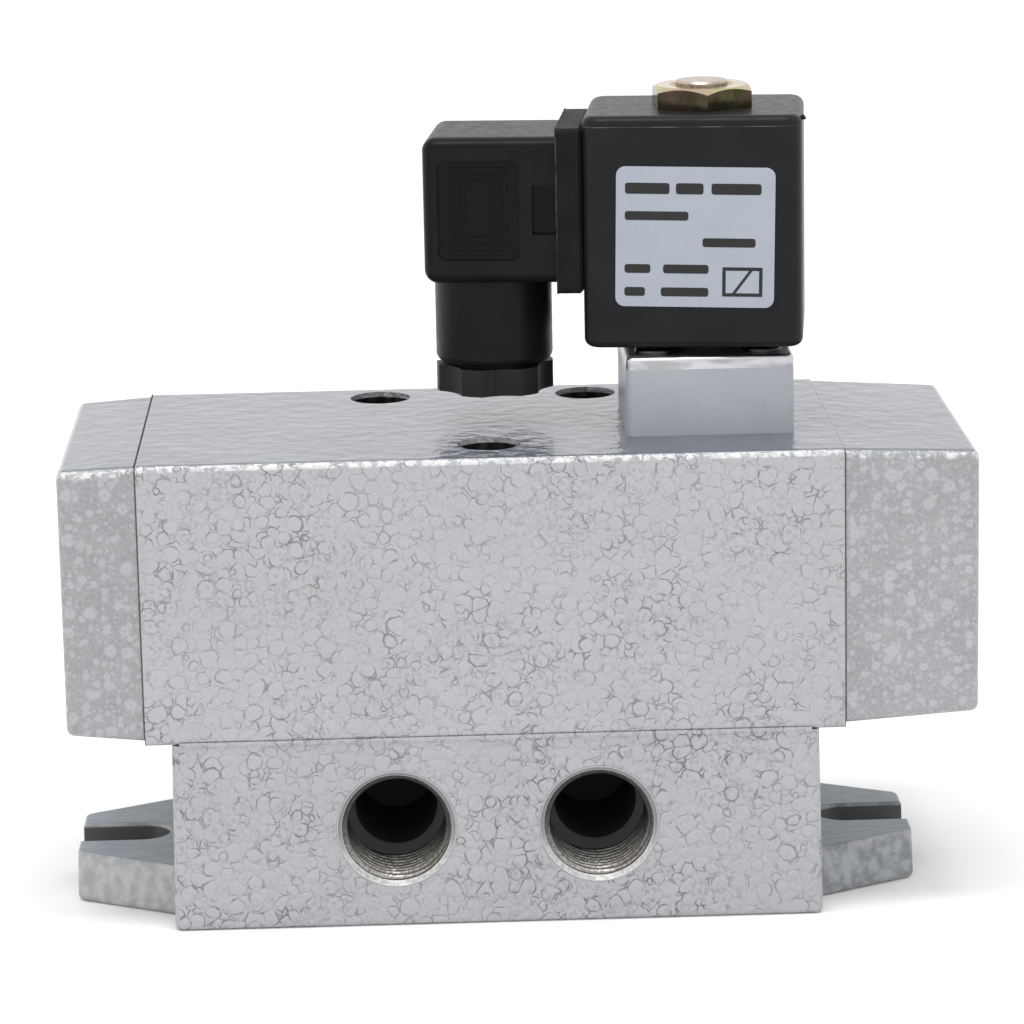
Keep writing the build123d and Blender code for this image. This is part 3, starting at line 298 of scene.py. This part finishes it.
def crackle(paint):
    """Hammertone of overlapping bubbles: (dark marks, bright marks, height), all about 0 to 1. The bright
    marks are painted highlight rings inside the bubbles, with glitter.
    """
    where = paint.warped(1.3, 0.42, paint.warped(7.0, 1.2, paint.on_face()))
    width = paint.ramp(paint.noise(1.6, 3.0), 0.45, 0.66, 0.040, 0.095)
    lines, rings, domes, bare = 0.0, 0.0, 0.0, 1.0
    for size, shift, least, most in BUBBLE_LAYERS:
        wall, ring, dome, inside = bubble_layer(paint, where, size, shift, least, most, width)
        lines = paint.math("MAXIMUM", lines, paint.product(wall, bare))
        rings = paint.math("MAXIMUM", rings, paint.product(ring, bare))
        domes = paint.math("MAXIMUM", domes, paint.product(dome, bare))
        bare = paint.product(bare, paint.math("LESS_THAN", inside, 0.0))
    presence = paint.product(paint.ramp(paint.noise(2.4, 4.0), 0.42, 0.62, 0.12, 1.0),
                             paint.ramp(paint.noise(14.0, 1.0), 0.38, 0.60, 0.60, 1.0))
    lines = paint.product(lines, presence)
    pores = paint.ramp(paint.noise(0.55, 2.0), 0.28, 0.42, 0.22, 0.0)
    glitter = paint.ramp(paint.noise(0.45, 2.0), 0.56, 0.74, 0.0, 0.7)
    marks = paint.math("MAXIMUM", paint.math("MAXIMUM", lines, small_eyes(paint, where)), pores)
    # Bright marks: the painted highlight rings, with the glitter.
    bright = paint.math("MAXIMUM", paint.product(rings, 0.2), glitter)
    return marks, bright, paint.math("SUBTRACT", domes, lines)


def bubbles(paint):
    """Round pale spots of mixed size on a darker ground: (ground, pale specks, height), all about 0 to 1."""
    where = paint.warped(3.0, 0.30, paint.on_face())
    spots = 0.0
    for size, least, most in SPOT_LAYERS:
        distance, seed = paint.cells(size, "F1", where, flat=True)
        radius = paint.ramp(paint.channel(seed), 0.1, 1.0, least, most)
        spot = paint.ramp(distance, paint.math("SUBTRACT", radius, 0.26), radius, 0.85, 0.0)
        centre = paint.ramp(distance, 0.04, 0.11, 0.45, 0.0)
        eye = paint.product(centre, paint.ramp(radius, 0.2, 0.3))
        spots = paint.math("MAXIMUM", spots, paint.math("SUBTRACT", spot, eye))
    speck, seed = paint.cells(0.8)
    lucky = paint.math("GREATER_THAN", paint.channel(seed), 0.82)
    specks = paint.product(paint.ramp(speck, 0.08, 0.28, 1.0, 0.0), lucky)
    mist = paint.ramp(paint.noise(0.7, 3.0), 0.35, 0.65, 0.0, 0.35)
    ground = paint.math("SUBTRACT", paint.ramp(paint.noise(6.0, 2.0), 0.35, 0.65, 0.85, 1.05), spots)
    return paint.math("SUBTRACT", ground, mist), specks, spots


def edge_glint(paint, mark):
    """Bright glints on the rounded upper edges, between the dark marks."""
    rim = paint.product(paint.ramp(paint.facing_up, 0.12, 0.30),
                        paint.ramp(paint.facing_up, 0.75, 0.95, 1.0, 0.0))
    clear = paint.product(paint.math("SUBTRACT", 1.0, mark),
                          paint.ramp(paint.noise(1.7, 2.0), 0.42, 0.56))
    return paint.product(rim, clear)


def joint_lines(paint):
    """Dark hairlines at the covers' joints, and a faint broken one along the seam under the body."""
    joint = paint.away(paint.math("ABSOLUTE", paint.x), JOINT_X)
    above = paint.math("GREATER_THAN", paint.z, BODY_FOOT + 0.5)
    upright = paint.product(paint.ramp(joint, 0.08, 0.24, 1.0, 0.0), above)
    foot = paint.away(paint.z, BODY_FOOT)
    broken = paint.ramp(paint.noise(1.6, 3.0), 0.42, 0.60)
    level = paint.product(paint.ramp(foot, 0.05, 0.22, 0.15, 0.0), broken)
    return paint.math("MAXIMUM", upright, level)


def enamel(name, pattern, pale, dark, patches=(), coat=0.75, gloss=0.5):
    """Silver enamel with a pattern. A patch is a maker of (mask, colour, roughness, metallic)."""
    paint = Paint(name)
    upward = paint.ramp(paint.facing_up, 0.80, 0.97)
    mark, bright, height = pattern(paint)
    colour = paint.mix(paint.product(mark, paint.ramp(upward, 0.0, 1.0, 0.85, 0.10)), pale, dark)
    # The pattern's bright marks lighten the colour, less on faces that look up; on the crackle they are
    # painted highlight rings.
    shine = paint.product(bright, paint.ramp(upward, 0.0, 1.0, 0.16, 0.0))
    colour = paint.mix(shine, colour, grey(0.80))
    # Painted shade: faces that look up get a darker, bluer, clouded colour of their own in place of the
    # enamel's.
    cloud = paint.ramp(paint.noise(16.0, 2.0), 0.35, 0.65)
    top = paint.mix(cloud, (0.097, 0.113, 0.150), (0.070, 0.083, 0.117))
    colour = paint.mix(paint.product(upward, 0.9), colour, top)
    colour = paint.mix(paint.product(edge_glint(paint, mark), 0.55), colour, grey(0.90))
    broad = paint.ramp(paint.noise(18.0, 2.0), 0.35, 0.65, 0.0, 0.09)
    colour = paint.mix(broad, colour, grey(0.25, 0.03))
    colour = paint.mix(joint_lines(paint), colour, grey(0.025))
    roughness, metallic, rough_skin = 0.40, 0.10, 1.0
    for mask, patch_colour, patch_roughness, patch_metallic in [make(paint) for make in patches]:
        colour = paint.mix(mask, colour, patch_colour)
        roughness = paint.blend(mask, roughness, patch_roughness)
        metallic = paint.blend(mask, metallic, patch_metallic)
        rough_skin = paint.product(rough_skin, paint.math("SUBTRACT", 1.0, mask))
    ripple = paint.product(paint.noise(3.4, 3.0), 3.2)
    relief = paint.blend(upward, paint.math("ADD", height, paint.noise(0.7, 2.0)), ripple)
    normal = paint.bump(paint.product(relief, rough_skin), 0.11)
    paint.plug(normal, paint.shader.inputs["Coat Normal"])
    return paint.finish(colour, roughness, normal, metallic, Coat_Weight=coat, Coat_Roughness=0.07,
                        Specular_IOR_Level=gloss)


def port_distance(paint):
    """Distance of a point from the axis of the nearest port on its side of the base."""
    across = paint.math("ABSOLUTE", paint.x)
    up = paint.math("SUBTRACT", paint.z, PORT_Z)
    front_x = paint.away(across, FRONT_PORTS[1])
    back_x = paint.math("MINIMUM", across, paint.away(across, BACK_PORTS[-1]))
    gap = paint.blend(paint.math("GREATER_THAN", paint.y, 0.0), front_x, back_x)
    return paint.length(gap, up)


def port_mouth(paint):
    """Plain enamel on the ports' chamfers, with painted highlights as pale lines along both rims, and pale
    metal at the bottom, where the chamfer faces up, that is partly wear and partly painted highlight.
    """
    away = port_distance(paint)
    mask = paint.ramp(away, PORT_MOUTH_RADIUS + 0.15, PORT_MOUTH_RADIUS + 0.3, 1.0, 0.0)
    outer = paint.away(away, PORT_MOUTH_RADIUS)
    inner = paint.ramp(away, PORT_WALL_RADIUS + 0.02, PORT_WALL_RADIUS + 0.22, 1.0, 0.0)
    # Painted highlights: pale lines along the chamfer's outer and inner rims.
    rim = paint.math("MAXIMUM", paint.ramp(outer, 0.0, 0.16, 1.0, 0.0), inner)
    scuff = paint.ramp(paint.noise(0.9, 2.0), 0.35, 0.6, 0.4, 1.0)
    # Partly wear, partly painted highlight: pale metal where the chamfer faces up at the bottom, broken by
    # scuffs.
    highlight_and_wear = paint.product(paint.ramp(paint.facing_up, 0.0, 0.5), scuff)
    skin = paint.mix(rim, grey(0.30, 0.03), grey(0.50, 0.03))
    return mask, paint.mix(highlight_and_wear, skin, (0.62, 0.605, 0.58)), 0.35, 0.1


def passage_shade(paint):
    """Painted shade inside the base, behind the threads: the bare casting skin is coloured very dark, darkest
    past the cones.
    """
    off_middle = paint.math("ABSOLUTE", paint.y)
    thread_end = PORT_FACE - THREAD_DEPTH
    depth = paint.ramp(off_middle, thread_end - 0.1, thread_end, 1.0, 0.0)
    within = paint.math("LESS_THAN", paint.math("ABSOLUTE", paint.x), EAR_X - 2.4)
    level = paint.away(paint.z, BODY_FOOT / 2)
    inside = paint.product(within, paint.math("LESS_THAN", level, BODY_FOOT / 2 - 0.5))
    cone_end = PORT_FACE - PASSAGE_START
    cone = paint.ramp(off_middle, cone_end - 0.1, cone_end + 0.1)
    return paint.product(depth, inside), paint.mix(cone, grey(0.055), grey(0.12)), 0.7, 0.0


def ear_skin(paint):
    """Greyer, streaky enamel on the ears, with painted light: the left ear's sides lighter than the right
    ear's, the tops a lit blue-grey of their own, and painted shade in their slots.
    """
    mask = paint.product(paint.ramp(paint.math("ABSOLUTE", paint.x), EAR_X - 0.3, EAR_X),
                         paint.math("LESS_THAN", paint.z, EAR_TOP + 0.2))
    mottle = paint.ramp(paint.noise(2.6, 3.0), 0.36, 0.64)
    # Painted light: the left ear's sides are lighter than the right ear's.
    lit_left_ear_side = paint.mix(mottle, (0.45, 0.45, 0.45), (0.335, 0.345, 0.355))
    shaded_right_ear_side = paint.mix(mottle, (0.34, 0.35, 0.36), (0.215, 0.225, 0.235))
    side = paint.mix(paint.math("GREATER_THAN", paint.x, 0.0), lit_left_ear_side, shaded_right_ear_side)
    along = paint.vector("MULTIPLY", paint.mm, (0.25, 1.0, 1.0))
    streak = paint.ramp(paint.noise(1.4, 3.0, along), 0.35, 0.65)
    # Painted light: the ears' tops get a streaky blue-grey of their own.
    top = paint.mix(streak, (0.285, 0.320, 0.350), (0.240, 0.272, 0.300))
    # Painted shade down in the slots.
    between = paint.math("LESS_THAN", paint.math("ABSOLUTE", paint.y), EAR_SLOT_HALF_WIDTH + 0.1)
    slot_shade = paint.product(between, paint.ramp(paint.z, EAR_TOP - 0.9, EAR_TOP - 0.5, 1.0, 0.0))
    side = paint.mix(slot_shade, side, grey(0.10, 0.02))
    return mask, paint.mix(paint.ramp(paint.facing_up, 0.8, 0.95), side, top), 0.38, 0.1


# ---- other finishes ----------------------------------------------------------------------------------------
def in_coil(paint):
    """A point's X and Y in the coil group's own directions, from the tube's axis."""
    dx, dy = paint.math("SUBTRACT", paint.x, AXIS_X), paint.math("SUBTRACT", paint.y, AXIS_Y)
    cos, sin = math.cos(COIL_TURN), math.sin(COIL_TURN)
    along = paint.math("ADD", paint.product(dx, cos), paint.product(dy, sin))
    across = paint.math("SUBTRACT", paint.product(dy, cos), paint.product(dx, sin))
    return along, across


def satin_block():
    """Smooth grey paint with a few dark specks."""
    paint = Paint("pilot_block_paint")
    cloud = paint.ramp(paint.noise(9.0, 3.0), 0.3, 0.7)
    colour = paint.mix(cloud, (0.385, 0.405, 0.435), (0.368, 0.388, 0.418))
    speck, seed = paint.cells(1.6)
    lucky = paint.math("GREATER_THAN", paint.channel(seed), 0.9)
    spot = paint.product(paint.ramp(speck, 0.08, 0.2, 0.35, 0.0), lucky)
    colour = paint.mix(spot, colour, grey(0.12))
    height = paint.math("ADD", paint.noise(0.9, 2.0), paint.product(paint.noise(0.25, 1.0), 0.4))
    return paint.finish(colour, paint.ramp(cloud, 0.0, 1.0, 0.36, 0.44), paint.bump(height, 0.010), 0.0)


def metal(name, pale, dark, rough, grain=0.5, depth=0.01, size=5.0, upright_shade=1.0, stretch=(1.0, 1.0, 1.0)):
    """Plated or turned metal with clouds of tone and a fine grain, and painted shade that dims the upright
    faces in streaky bands by a given share.
    """
    paint = Paint(name)
    where = paint.vector("MULTIPLY", paint.mm, stretch)
    cloud = paint.ramp(paint.noise(size, 3.0, where), 0.35, 0.65)
    colour = paint.mix(cloud, pale, dark)
    # Painted shade: faces that stand upright are darkened in bands.
    upright = paint.ramp(paint.facing_up, 0.10, 0.40, 1.0, 0.0)
    shade_streaks = paint.ramp(paint.noise(size * 0.5, 2.0, where), 0.35, 0.65, upright_shade * 0.6, upright_shade)
    shade = paint.blend(upright, 1.0, shade_streaks)
    colour = paint.vector("MULTIPLY", colour, paint.grey_vector(shade))
    height = paint.noise(grain, 2.0, where)
    roughness = paint.ramp(paint.noise(size / 3, 2.0, where), 0.3, 0.7, rough * 0.8, rough * 1.25)
    return paint.finish(colour, roughness, paint.bump(height, depth), 1.0)


def plastic(name, pale, dark, rough, grain=0.35, depth=0.012, level=0.4, mark=None):
    """Moulded plastic or rubber: faint clouds, pale dust, fine grain, and sometimes a mark such as a seam."""
    paint = Paint(name)
    cloud = paint.ramp(paint.noise(7.0, 4.0), 0.3, 0.7)
    colour = paint.mix(cloud, pale, dark)
    dust, seed = paint.cells(1.7)
    lucky = paint.math("GREATER_THAN", paint.channel(seed), 0.90)
    speck = paint.product(paint.ramp(dust, 0.03, 0.10, 0.30, 0.0), lucky)
    colour = paint.mix(speck, colour, grey(0.12))
    if mark:
        colour = paint.mix(*mark(paint, colour))
    waves = paint.product(paint.noise(grain * 6, 2.0), 0.6)
    height = paint.math("ADD", paint.noise(grain, 2.0), waves)
    roughness = paint.ramp(paint.noise(2.2, 3.0), 0.25, 0.75, rough * 0.88, rough * 1.12)
    return paint.finish(colour, roughness, paint.bump(height, depth), 0.0, Specular_IOR_Level=level)


def cut_thread():
    """Bright crests of a cut thread with scuffs, and painted shade: dark brown roots away from the mouth, and
    dark metal where the bore faces down.
    """
    paint = Paint("cut_thread")
    away = port_distance(paint)
    scuff = paint.ramp(paint.noise(0.5, 3.0), 0.40, 0.62)
    crest = paint.mix(scuff, (0.50, 0.485, 0.46), (0.27, 0.25, 0.225))
    # Painted shade where the bore faces down.
    shadowed = paint.ramp(paint.facing_up, -0.15, 0.75, 0.92, 0.0)
    crest = paint.mix(shadowed, crest, (0.05, 0.05, 0.05))
    # Painted shade in the thread's roots, fading out near the mouth.
    deep = paint.ramp(paint.math("ABSOLUTE", paint.y), PORT_FACE - 2.8, PORT_FACE - 1.4, 1.0, 0.0)
    root_shade = paint.product(paint.ramp(away, THREAD_MINOR + 0.1, THREAD_MAJOR - 0.35), deep)
    colour = paint.mix(root_shade, crest, (0.045, 0.04, 0.036))
    height = paint.noise(0.35, 2.0)
    return paint.finish(colour, paint.ramp(scuff, 0.0, 1.0, 0.30, 0.48), paint.bump(height, 0.03), 0.9)


def mould_line(paint, colour):
    """Hair-thin parting line round the top of the coil, pale in places."""
    away = paint.away(paint.z, MOULD_LINE_Z)
    broken = paint.ramp(paint.noise(5.0, 3.0), 0.42, 0.62, 0.12, 0.55)
    return paint.product(paint.ramp(away, 0.03, 0.10, 1.0, 0.0), broken), colour, grey(0.20)


def lip_flash(paint, colour):
    """Ragged pale flash along the gasket's moulding lip."""
    along, _ = in_coil(paint)
    away = paint.away(along, GASKET_LIP_X - AXIS_X + 0.15)
    ragged = paint.ramp(paint.noise(2.5, 4.0), 0.40, 0.62, 0.15, 0.8)
    return paint.product(paint.ramp(away, 0.05, 0.22, 1.0, 0.0), ragged), colour, grey(0.06)


def panel_shade(paint, colour):
    """Painted shade: darker colour in the recessed panel and the notch on the plug's two sides."""
    _, across = in_coil(paint)
    out = paint.math("ABSOLUTE", across)
    sunk = paint.ramp(out, PLUG_HALF_WIDTH - 0.2, PLUG_HALF_WIDTH - 0.1, 1.0, 0.0)
    outer = paint.math("GREATER_THAN", out, PLUG_HALF_WIDTH - 1.3)
    high = paint.math("GREATER_THAN", paint.z, PANEL_FOOT_Z - 0.5)
    return paint.product(paint.product(sunk, outer), high), colour, grey(0.0035, 0.05)


def nut_seam(paint, colour):
    """Parting line down the front of the gland nut."""
    away = paint.away(paint.x, NUT_SEAM_X)
    front = paint.math("LESS_THAN", paint.y, AXIS_Y)
    return paint.product(paint.ramp(away, 0.05, 0.16, 0.9, 0.0), front), colour, grey(0.001)


CUT_THREAD = cut_thread()
MATERIALS = {
    "valve_base": enamel("base_enamel", crackle, grey(0.438, 0.03), grey(0.12, 0.03),
                         (port_mouth, passage_shade, ear_skin), coat=0.0, gloss=0.15),
    "valve_body": enamel("body_enamel", crackle, grey(0.415, 0.03), grey(0.12, 0.03)),
    "spring_cover": enamel("spring_cover_enamel", bubbles, grey(0.40, 0.03), grey(0.235, 0.03)),
    "pilot_cover": enamel("pilot_cover_enamel", bubbles, grey(0.415, 0.03), grey(0.25, 0.03)),
    "core_stem": metal("turned_stem", (0.42, 0.38, 0.34), (0.55, 0.42, 0.35), 0.3,
                       grain=0.4, depth=0.03, size=1.2, upright_shade=0.9),
    "plug_gasket": plastic("gasket_rubber", grey(0.010), grey(0.007), 0.55, level=0.10, mark=lip_flash),
    "plug_housing": plastic("plug_moulding", grey(0.0075, 0.12), grey(0.0055, 0.12), 0.36,
                            level=0.13, mark=panel_shade),
    "gland_nut": plastic("gland_moulding", grey(0.0170, 0.06), grey(0.0140, 0.06), 0.42,
                         level=0.22, mark=nut_seam),
    "coil_housing": plastic("coil_moulding", grey(0.0125, 0.10), grey(0.0100, 0.10), 0.36,
                            level=0.15, mark=mould_line),
    # Painted shade: the flange screws, down in the shade under the coil, are coloured dark.
    "flange_screws": metal("shaded_screw_zinc", grey(0.13, 0.03), grey(0.08, 0.03), 0.25, upright_shade=0.6),
    "pilot_grey": satin_block(),
    "bright_zinc": metal("bright_zinc", grey(0.70, 0.02), grey(0.58, 0.03), 0.34,
                         grain=0.6, depth=0.012, size=4.0, stretch=(0.3, 1.0, 1.0)),
    # Painted shade: the nut's upright flats are darkened to a small share of the colour.
    "yellow_zinc": metal("yellow_zinc", (0.50, 0.47, 0.25), (0.52, 0.38, 0.27), 0.16,
                         grain=0.6, size=7.0, upright_shade=0.17),
    "black_oxide": metal("black_oxide", grey(0.06), grey(0.03), 0.4),
    "ground_steel": metal("ground_steel", grey(0.72), grey(0.58), 0.2),
    "spring_steel": metal("spring_steel", grey(0.5), grey(0.4), 0.3),
    "brass": metal("brass", (0.80, 0.60, 0.28), (0.66, 0.46, 0.18), 0.28),
    "copper": metal("copper", (0.80, 0.38, 0.20), (0.66, 0.28, 0.13), 0.3),
    "seal_rubber": plastic("seal_rubber", grey(0.02), grey(0.012), 0.6, level=0.2),
    "plug_plastic": plastic("plug_plastic", grey(0.0085, 0.03), grey(0.0065, 0.03), 0.42, level=0.12),
    "white_plastic": plastic("white_plastic", (0.75, 0.74, 0.70), (0.70, 0.68, 0.64), 0.45),
    "label": plastic("label_film", (0.365, 0.395, 0.450), (0.345, 0.378, 0.432), 0.3,
                     grain=1.5, depth=0.004),
    # Painted shade: the dark finish of the sheets that line the counterbores.
    "bore_wall": metal("bore_wall", grey(0.05), grey(0.012), 0.45, depth=0.05, size=1.6),
}


def dress(part, material):
    """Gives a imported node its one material."""
    part.data.materials.clear()
    part.data.materials.append(material)


for entry in frame["record"]["subparts"]:
    dress(NODES[entry["node"]], MATERIALS.get(entry["node"]) or MATERIALS[entry["material_slot"]])


# ---- added pieces ------------------------------------------------------------------------------------------
def piece(name, mesh, material, body, smooth=True):
    """Turns a bmesh in millimetres into a piece that rides on a body."""
    data = bpy.data.meshes.new(name)
    bmesh.ops.scale(mesh, vec=(MM, MM, MM), verts=mesh.verts)
    bmesh.ops.recalc_face_normals(mesh, faces=mesh.faces)
    mesh.to_mesh(data)
    mesh.free()
    thing = bpy.data.objects.new(name, data)
    bpy.context.scene.collection.objects.link(thing)
    data.materials.append(material)
    if smooth:
        data.shade_smooth()
    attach(thing, body)


def tube_of_rows(mesh, rows):
    """Closes rows of equal length, each a ring of points, into one solid skin."""
    rings = [[mesh.verts.new(point) for point in row] for row in rows]
    for low, high in zip(rings, rings[1:] + rings[:1]):
        for index in range(len(low)):
            after = (index + 1) % len(low)
            mesh.faces.new((low[index], low[after], high[after], high[index]))


def circle(steps, radius):
    """Points of a circle about the origin, counterclockwise from the right."""
    angles = [2 * math.pi * step / steps for step in range(steps)]
    return [(radius * math.cos(angle), radius * math.sin(angle)) for angle in angles]


def port_thread(name, x, side):
    """Pipe thread of one port: a ring whose inner face carries the helical ridges."""
    steps, per_pitch, sharpness = 72, 8, 1.25
    count = int(THREAD_DEPTH / THREAD_PITCH * per_pitch)
    rows = []
    for row in range(count + 1):
        depth = THREAD_START + (THREAD_DEPTH - THREAD_START) * row / count
        crest = max(THREAD_MINOR, PORT_MOUTH_RADIUS - depth * PORT_MOUTH_SLOPE)
        ring = []
        for step, (u, v) in enumerate(circle(steps, 1.0)):
            phase = (depth / THREAD_PITCH - side * step / steps) % 1.0
            ridge = min(1.0, sharpness * (1 - abs(2 * phase - 1)))
            radius = THREAD_MAJOR - max(0.0, THREAD_MAJOR - crest) * ridge
            ring.append((x + radius * u, side * (PORT_FACE - depth), PORT_Z + radius * v))
        rows.append(ring)
    for depth in (THREAD_DEPTH, THREAD_START):
        y = side * (PORT_FACE - depth)
        rows.append([(x + u, y, PORT_Z + v) for u, v in circle(steps, THREAD_OUTSIDE)])
    mesh = bmesh.new()
    tube_of_rows(mesh, rows)
    piece(name, mesh, CUT_THREAD, "valve")


def counterbore_shade_liner(name, x, y):
    """Painted shade: a dark, rough sheet lining the wall of one counterbore, below its painted rim."""
    inner, outer = COUNTERBORE_RADIUS - 0.04, COUNTERBORE_RADIUS - 0.01
    low, high = COUNTERBORE_FLOOR + 0.3, BODY_TOP - PAINTED_RIM
    section = ((inner, low), (inner, high - 0.1), (outer, high), (outer, low))
    rows = [[(x + u, y + v, z) for u, v in circle(64, radius)] for radius, z in section]
    mesh = bmesh.new()
    tube_of_rows(mesh, rows)
    piece(name, mesh, MATERIALS["bore_wall"], "valve")


def strip(name, centre, size, material):
    """Straight strip with square ends on the valve."""
    mesh = bmesh.new()
    bmesh.ops.create_cube(mesh, size=1.0, matrix=Matrix.Translation(centre) @ Matrix.Diagonal((*size, 1.0)))
    piece(name, mesh, MATERIALS[material], "valve", smooth=False)


def seam_bead(name, side):
    """Enamel that runs over the seam between body and base on one long side."""
    thickness, height = SEAM_BEAD
    strip(name, (0.0, side * (BASE_HALF_WIDTH + 0.02), BODY_FOOT + 0.2),
          (2 * SEAM_HALF_LENGTH, thickness, height), "valve_body")


def joint_shade_strip(name, x):
    """Painted shade: a dark strip, in the seal rubber's finish, in a joint line across the top."""
    width, height = JOINT_SHADE_STRIP
    strip(name, (x, 0.0, BODY_TOP - 0.2), (width, 2 * JOINT_HALF_WIDTH, height), "seal_rubber")


def on_label(right, down, lift):
    """Point of the label's plane, measured from its upper left corner, in the valve's frame."""
    u, v = right - LABEL_SIZE[0] / 2, LABEL_SIZE[1] / 2 - down
    x = LABEL_X + u * math.cos(LABEL_TILT) - v * math.sin(LABEL_TILT) - AXIS_X
    z = LABEL_Z + u * math.sin(LABEL_TILT) + v * math.cos(LABEL_TILT)
    y = LABEL_Y - lift - AXIS_Y
    return (AXIS_X + x * math.cos(COIL_TURN) - y * math.sin(COIL_TURN),
            AXIS_Y + x * math.sin(COIL_TURN) + y * math.cos(COIL_TURN), z)


def printed(mesh, outline, thickness=0.03):
    """Thin solid patch of ink with the given outline on the label."""
    front = [mesh.verts.new(on_label(u, v, thickness)) for u, v in outline]
    back = [mesh.verts.new(on_label(u, v, 0.0)) for u, v in outline]
    mesh.faces.new(front)
    mesh.faces.new(back)
    for index in range(len(front)):
        after = (index + 1) % len(front)
        mesh.faces.new((front[index], front[after], back[after], back[index]))


def bar(mesh, left, top, width, height, radius):
    """Rounded printed bar."""
    corners, steps = [], 4
    radius = min(radius, width / 2, height / 2)
    for cx, cy, first in ((width - radius, radius, 0), (radius, radius, 90),
                          (radius, height - radius, 180), (width - radius, height - radius, 270)):
        for step in range(steps + 1):
            angle = math.radians(first + 90 * step / steps)
            corners.append((left + cx + radius * math.cos(angle), top + cy - radius * math.sin(angle)))
    printed(mesh, corners)


def label_print():
    """Plain bars where a rating plate has its lines, and a plain coil symbol: a box with one diagonal."""
    mesh = bmesh.new()
    for top, height, bars in LABEL_ROWS:
        for left, width in bars:
            bar(mesh, left, top, width, height, 0.5)
    left, top, width, height, line, inset = 20.2, 19.0, 7.6, 5.6, 0.65, 1.9
    right, bottom = left + width, top + height
    for row in (top, bottom - line):
        bar(mesh, left, row, width, line, 0.2)
    for column in (left, right - line):
        bar(mesh, column, top + line, line, height - 2 * line, 0.05)
    printed(mesh, [(left + inset, bottom - line), (left + inset + line, bottom - line),
                   (right - inset, top + line), (right - inset - line, top + line)])
    ink = plastic("label_ink", grey(0.012), grey(0.008), 0.45)
    piece("label_print", mesh, ink, "coil_group", smooth=False)


def coil_nub():
    """Speck of moulding flash left at the coil's upper right corner."""
    wide, high = 1.3, 1.1
    mesh = bmesh.new()
    bmesh.ops.create_icosphere(mesh, subdivisions=2, radius=0.5)
    for vert in mesh.verts:
        x, y, z = vert.co
        swell = 1 + 0.25 * math.sin(9 * x + 5 * z)
        vert.co = Vector(NUB_PLACE) + Vector((wide * x * swell, y, high * z * swell))
    piece("coil_flash", mesh, MATERIALS["coil_housing"], "coil_group")


for number, x in enumerate(FRONT_PORTS):
    port_thread(f"front_port_thread_{number}", x, -1)
for number, x in enumerate(BACK_PORTS):
    port_thread(f"back_port_thread_{number}", x, 1)
for number, (x, y) in enumerate(COUNTERBORES):
    counterbore_shade_liner(f"counterbore_shade_sheet_{number}", x, y)
seam_bead("seam_bead_front", -1)
seam_bead("seam_bead_back", 1)
# Painted shade in the left joint line across the top.
joint_shade_strip("joint_edge_left", -JOINT_X)
label_print()
coil_nub()


# ---- stage -------------------------------------------------------------------------------------------------
WORLD_BRIGHTNESS = 1.08
CAMERA_PLACE = (-0.0169, -0.8212, 0.2600)
CAMERA_ANGLES = (1.51, 12.85, -1.13)     # degrees to the right, down and round its axis
CAMERA_LENS, SENSOR_WIDTH = 151.4, 36.0


def make_floor():
    """Plain, nearly white floor."""
    mesh = bmesh.new()
    bmesh.ops.create_grid(mesh, x_segments=8, y_segments=8, size=6.0)
    data = bpy.data.meshes.new("floor")
    mesh.to_mesh(data)
    mesh.free()
    floor = bpy.data.objects.new("floor", data)
    bpy.context.scene.collection.objects.link(floor)
    paint = Paint("floor_white")
    data.materials.append(paint.finish((0.95, 0.95, 0.95), 0.9, Specular_IOR_Level=0.1))


def area_light(name, place, target, size, watts):
    """Rectangular lamp that looks from its place to its target."""
    lamp = bpy.data.lights.new(name, "AREA")
    lamp.shape = "RECTANGLE"
    lamp.size, lamp.size_y = size
    lamp.energy = watts
    holder = bpy.data.objects.new(name, lamp)
    bpy.context.scene.collection.objects.link(holder)
    holder.location = place
    holder.rotation_euler = (Vector(target) - Vector(place)).to_track_quat("-Z", "Y").to_euler()


def make_light():
    """Even white surroundings and one soft lamp over the front."""
    world = bpy.data.worlds.new("studio")
    world.use_nodes = True
    bpy.context.scene.world = world
    background = world.node_tree.nodes["Background"]
    background.inputs["Color"].default_value = (1, 1, 1, 1)
    background.inputs["Strength"].default_value = WORLD_BRIGHTNESS
    area_light("overhead", place=(-0.05, -0.25, 1.2), target=(0, 0, 0.08), size=(0.7, 0.25), watts=5)


def make_camera():
    """Camera in front and above: yaw to the right, pitch down and a little roll."""
    yaw, pitch, roll = (math.radians(angle) for angle in CAMERA_ANGLES)
    ahead = Vector((math.sin(yaw) * math.cos(pitch), math.cos(yaw) * math.cos(pitch), -math.sin(pitch)))
    right = Vector((math.cos(yaw), -math.sin(yaw), 0))
    up = right.cross(ahead)
    turned_right = right * math.cos(roll) + up * math.sin(roll)
    turned_up = up * math.cos(roll) - right * math.sin(roll)
    camera = bpy.data.cameras.new("camera")
    camera.sensor_width = SENSOR_WIDTH
    camera.lens = CAMERA_LENS
    camera.clip_start = 0.01
    holder = bpy.data.objects.new("camera", camera)
    bpy.context.scene.collection.objects.link(holder)
    turn = Matrix((turned_right, turned_up, -ahead)).transposed().to_4x4()
    holder.matrix_world = Matrix.Translation(CAMERA_PLACE) @ turn
    bpy.context.scene.camera = holder


make_floor()
make_light()
make_camera()
bpy.context.scene.view_settings.view_transform = "Standard"
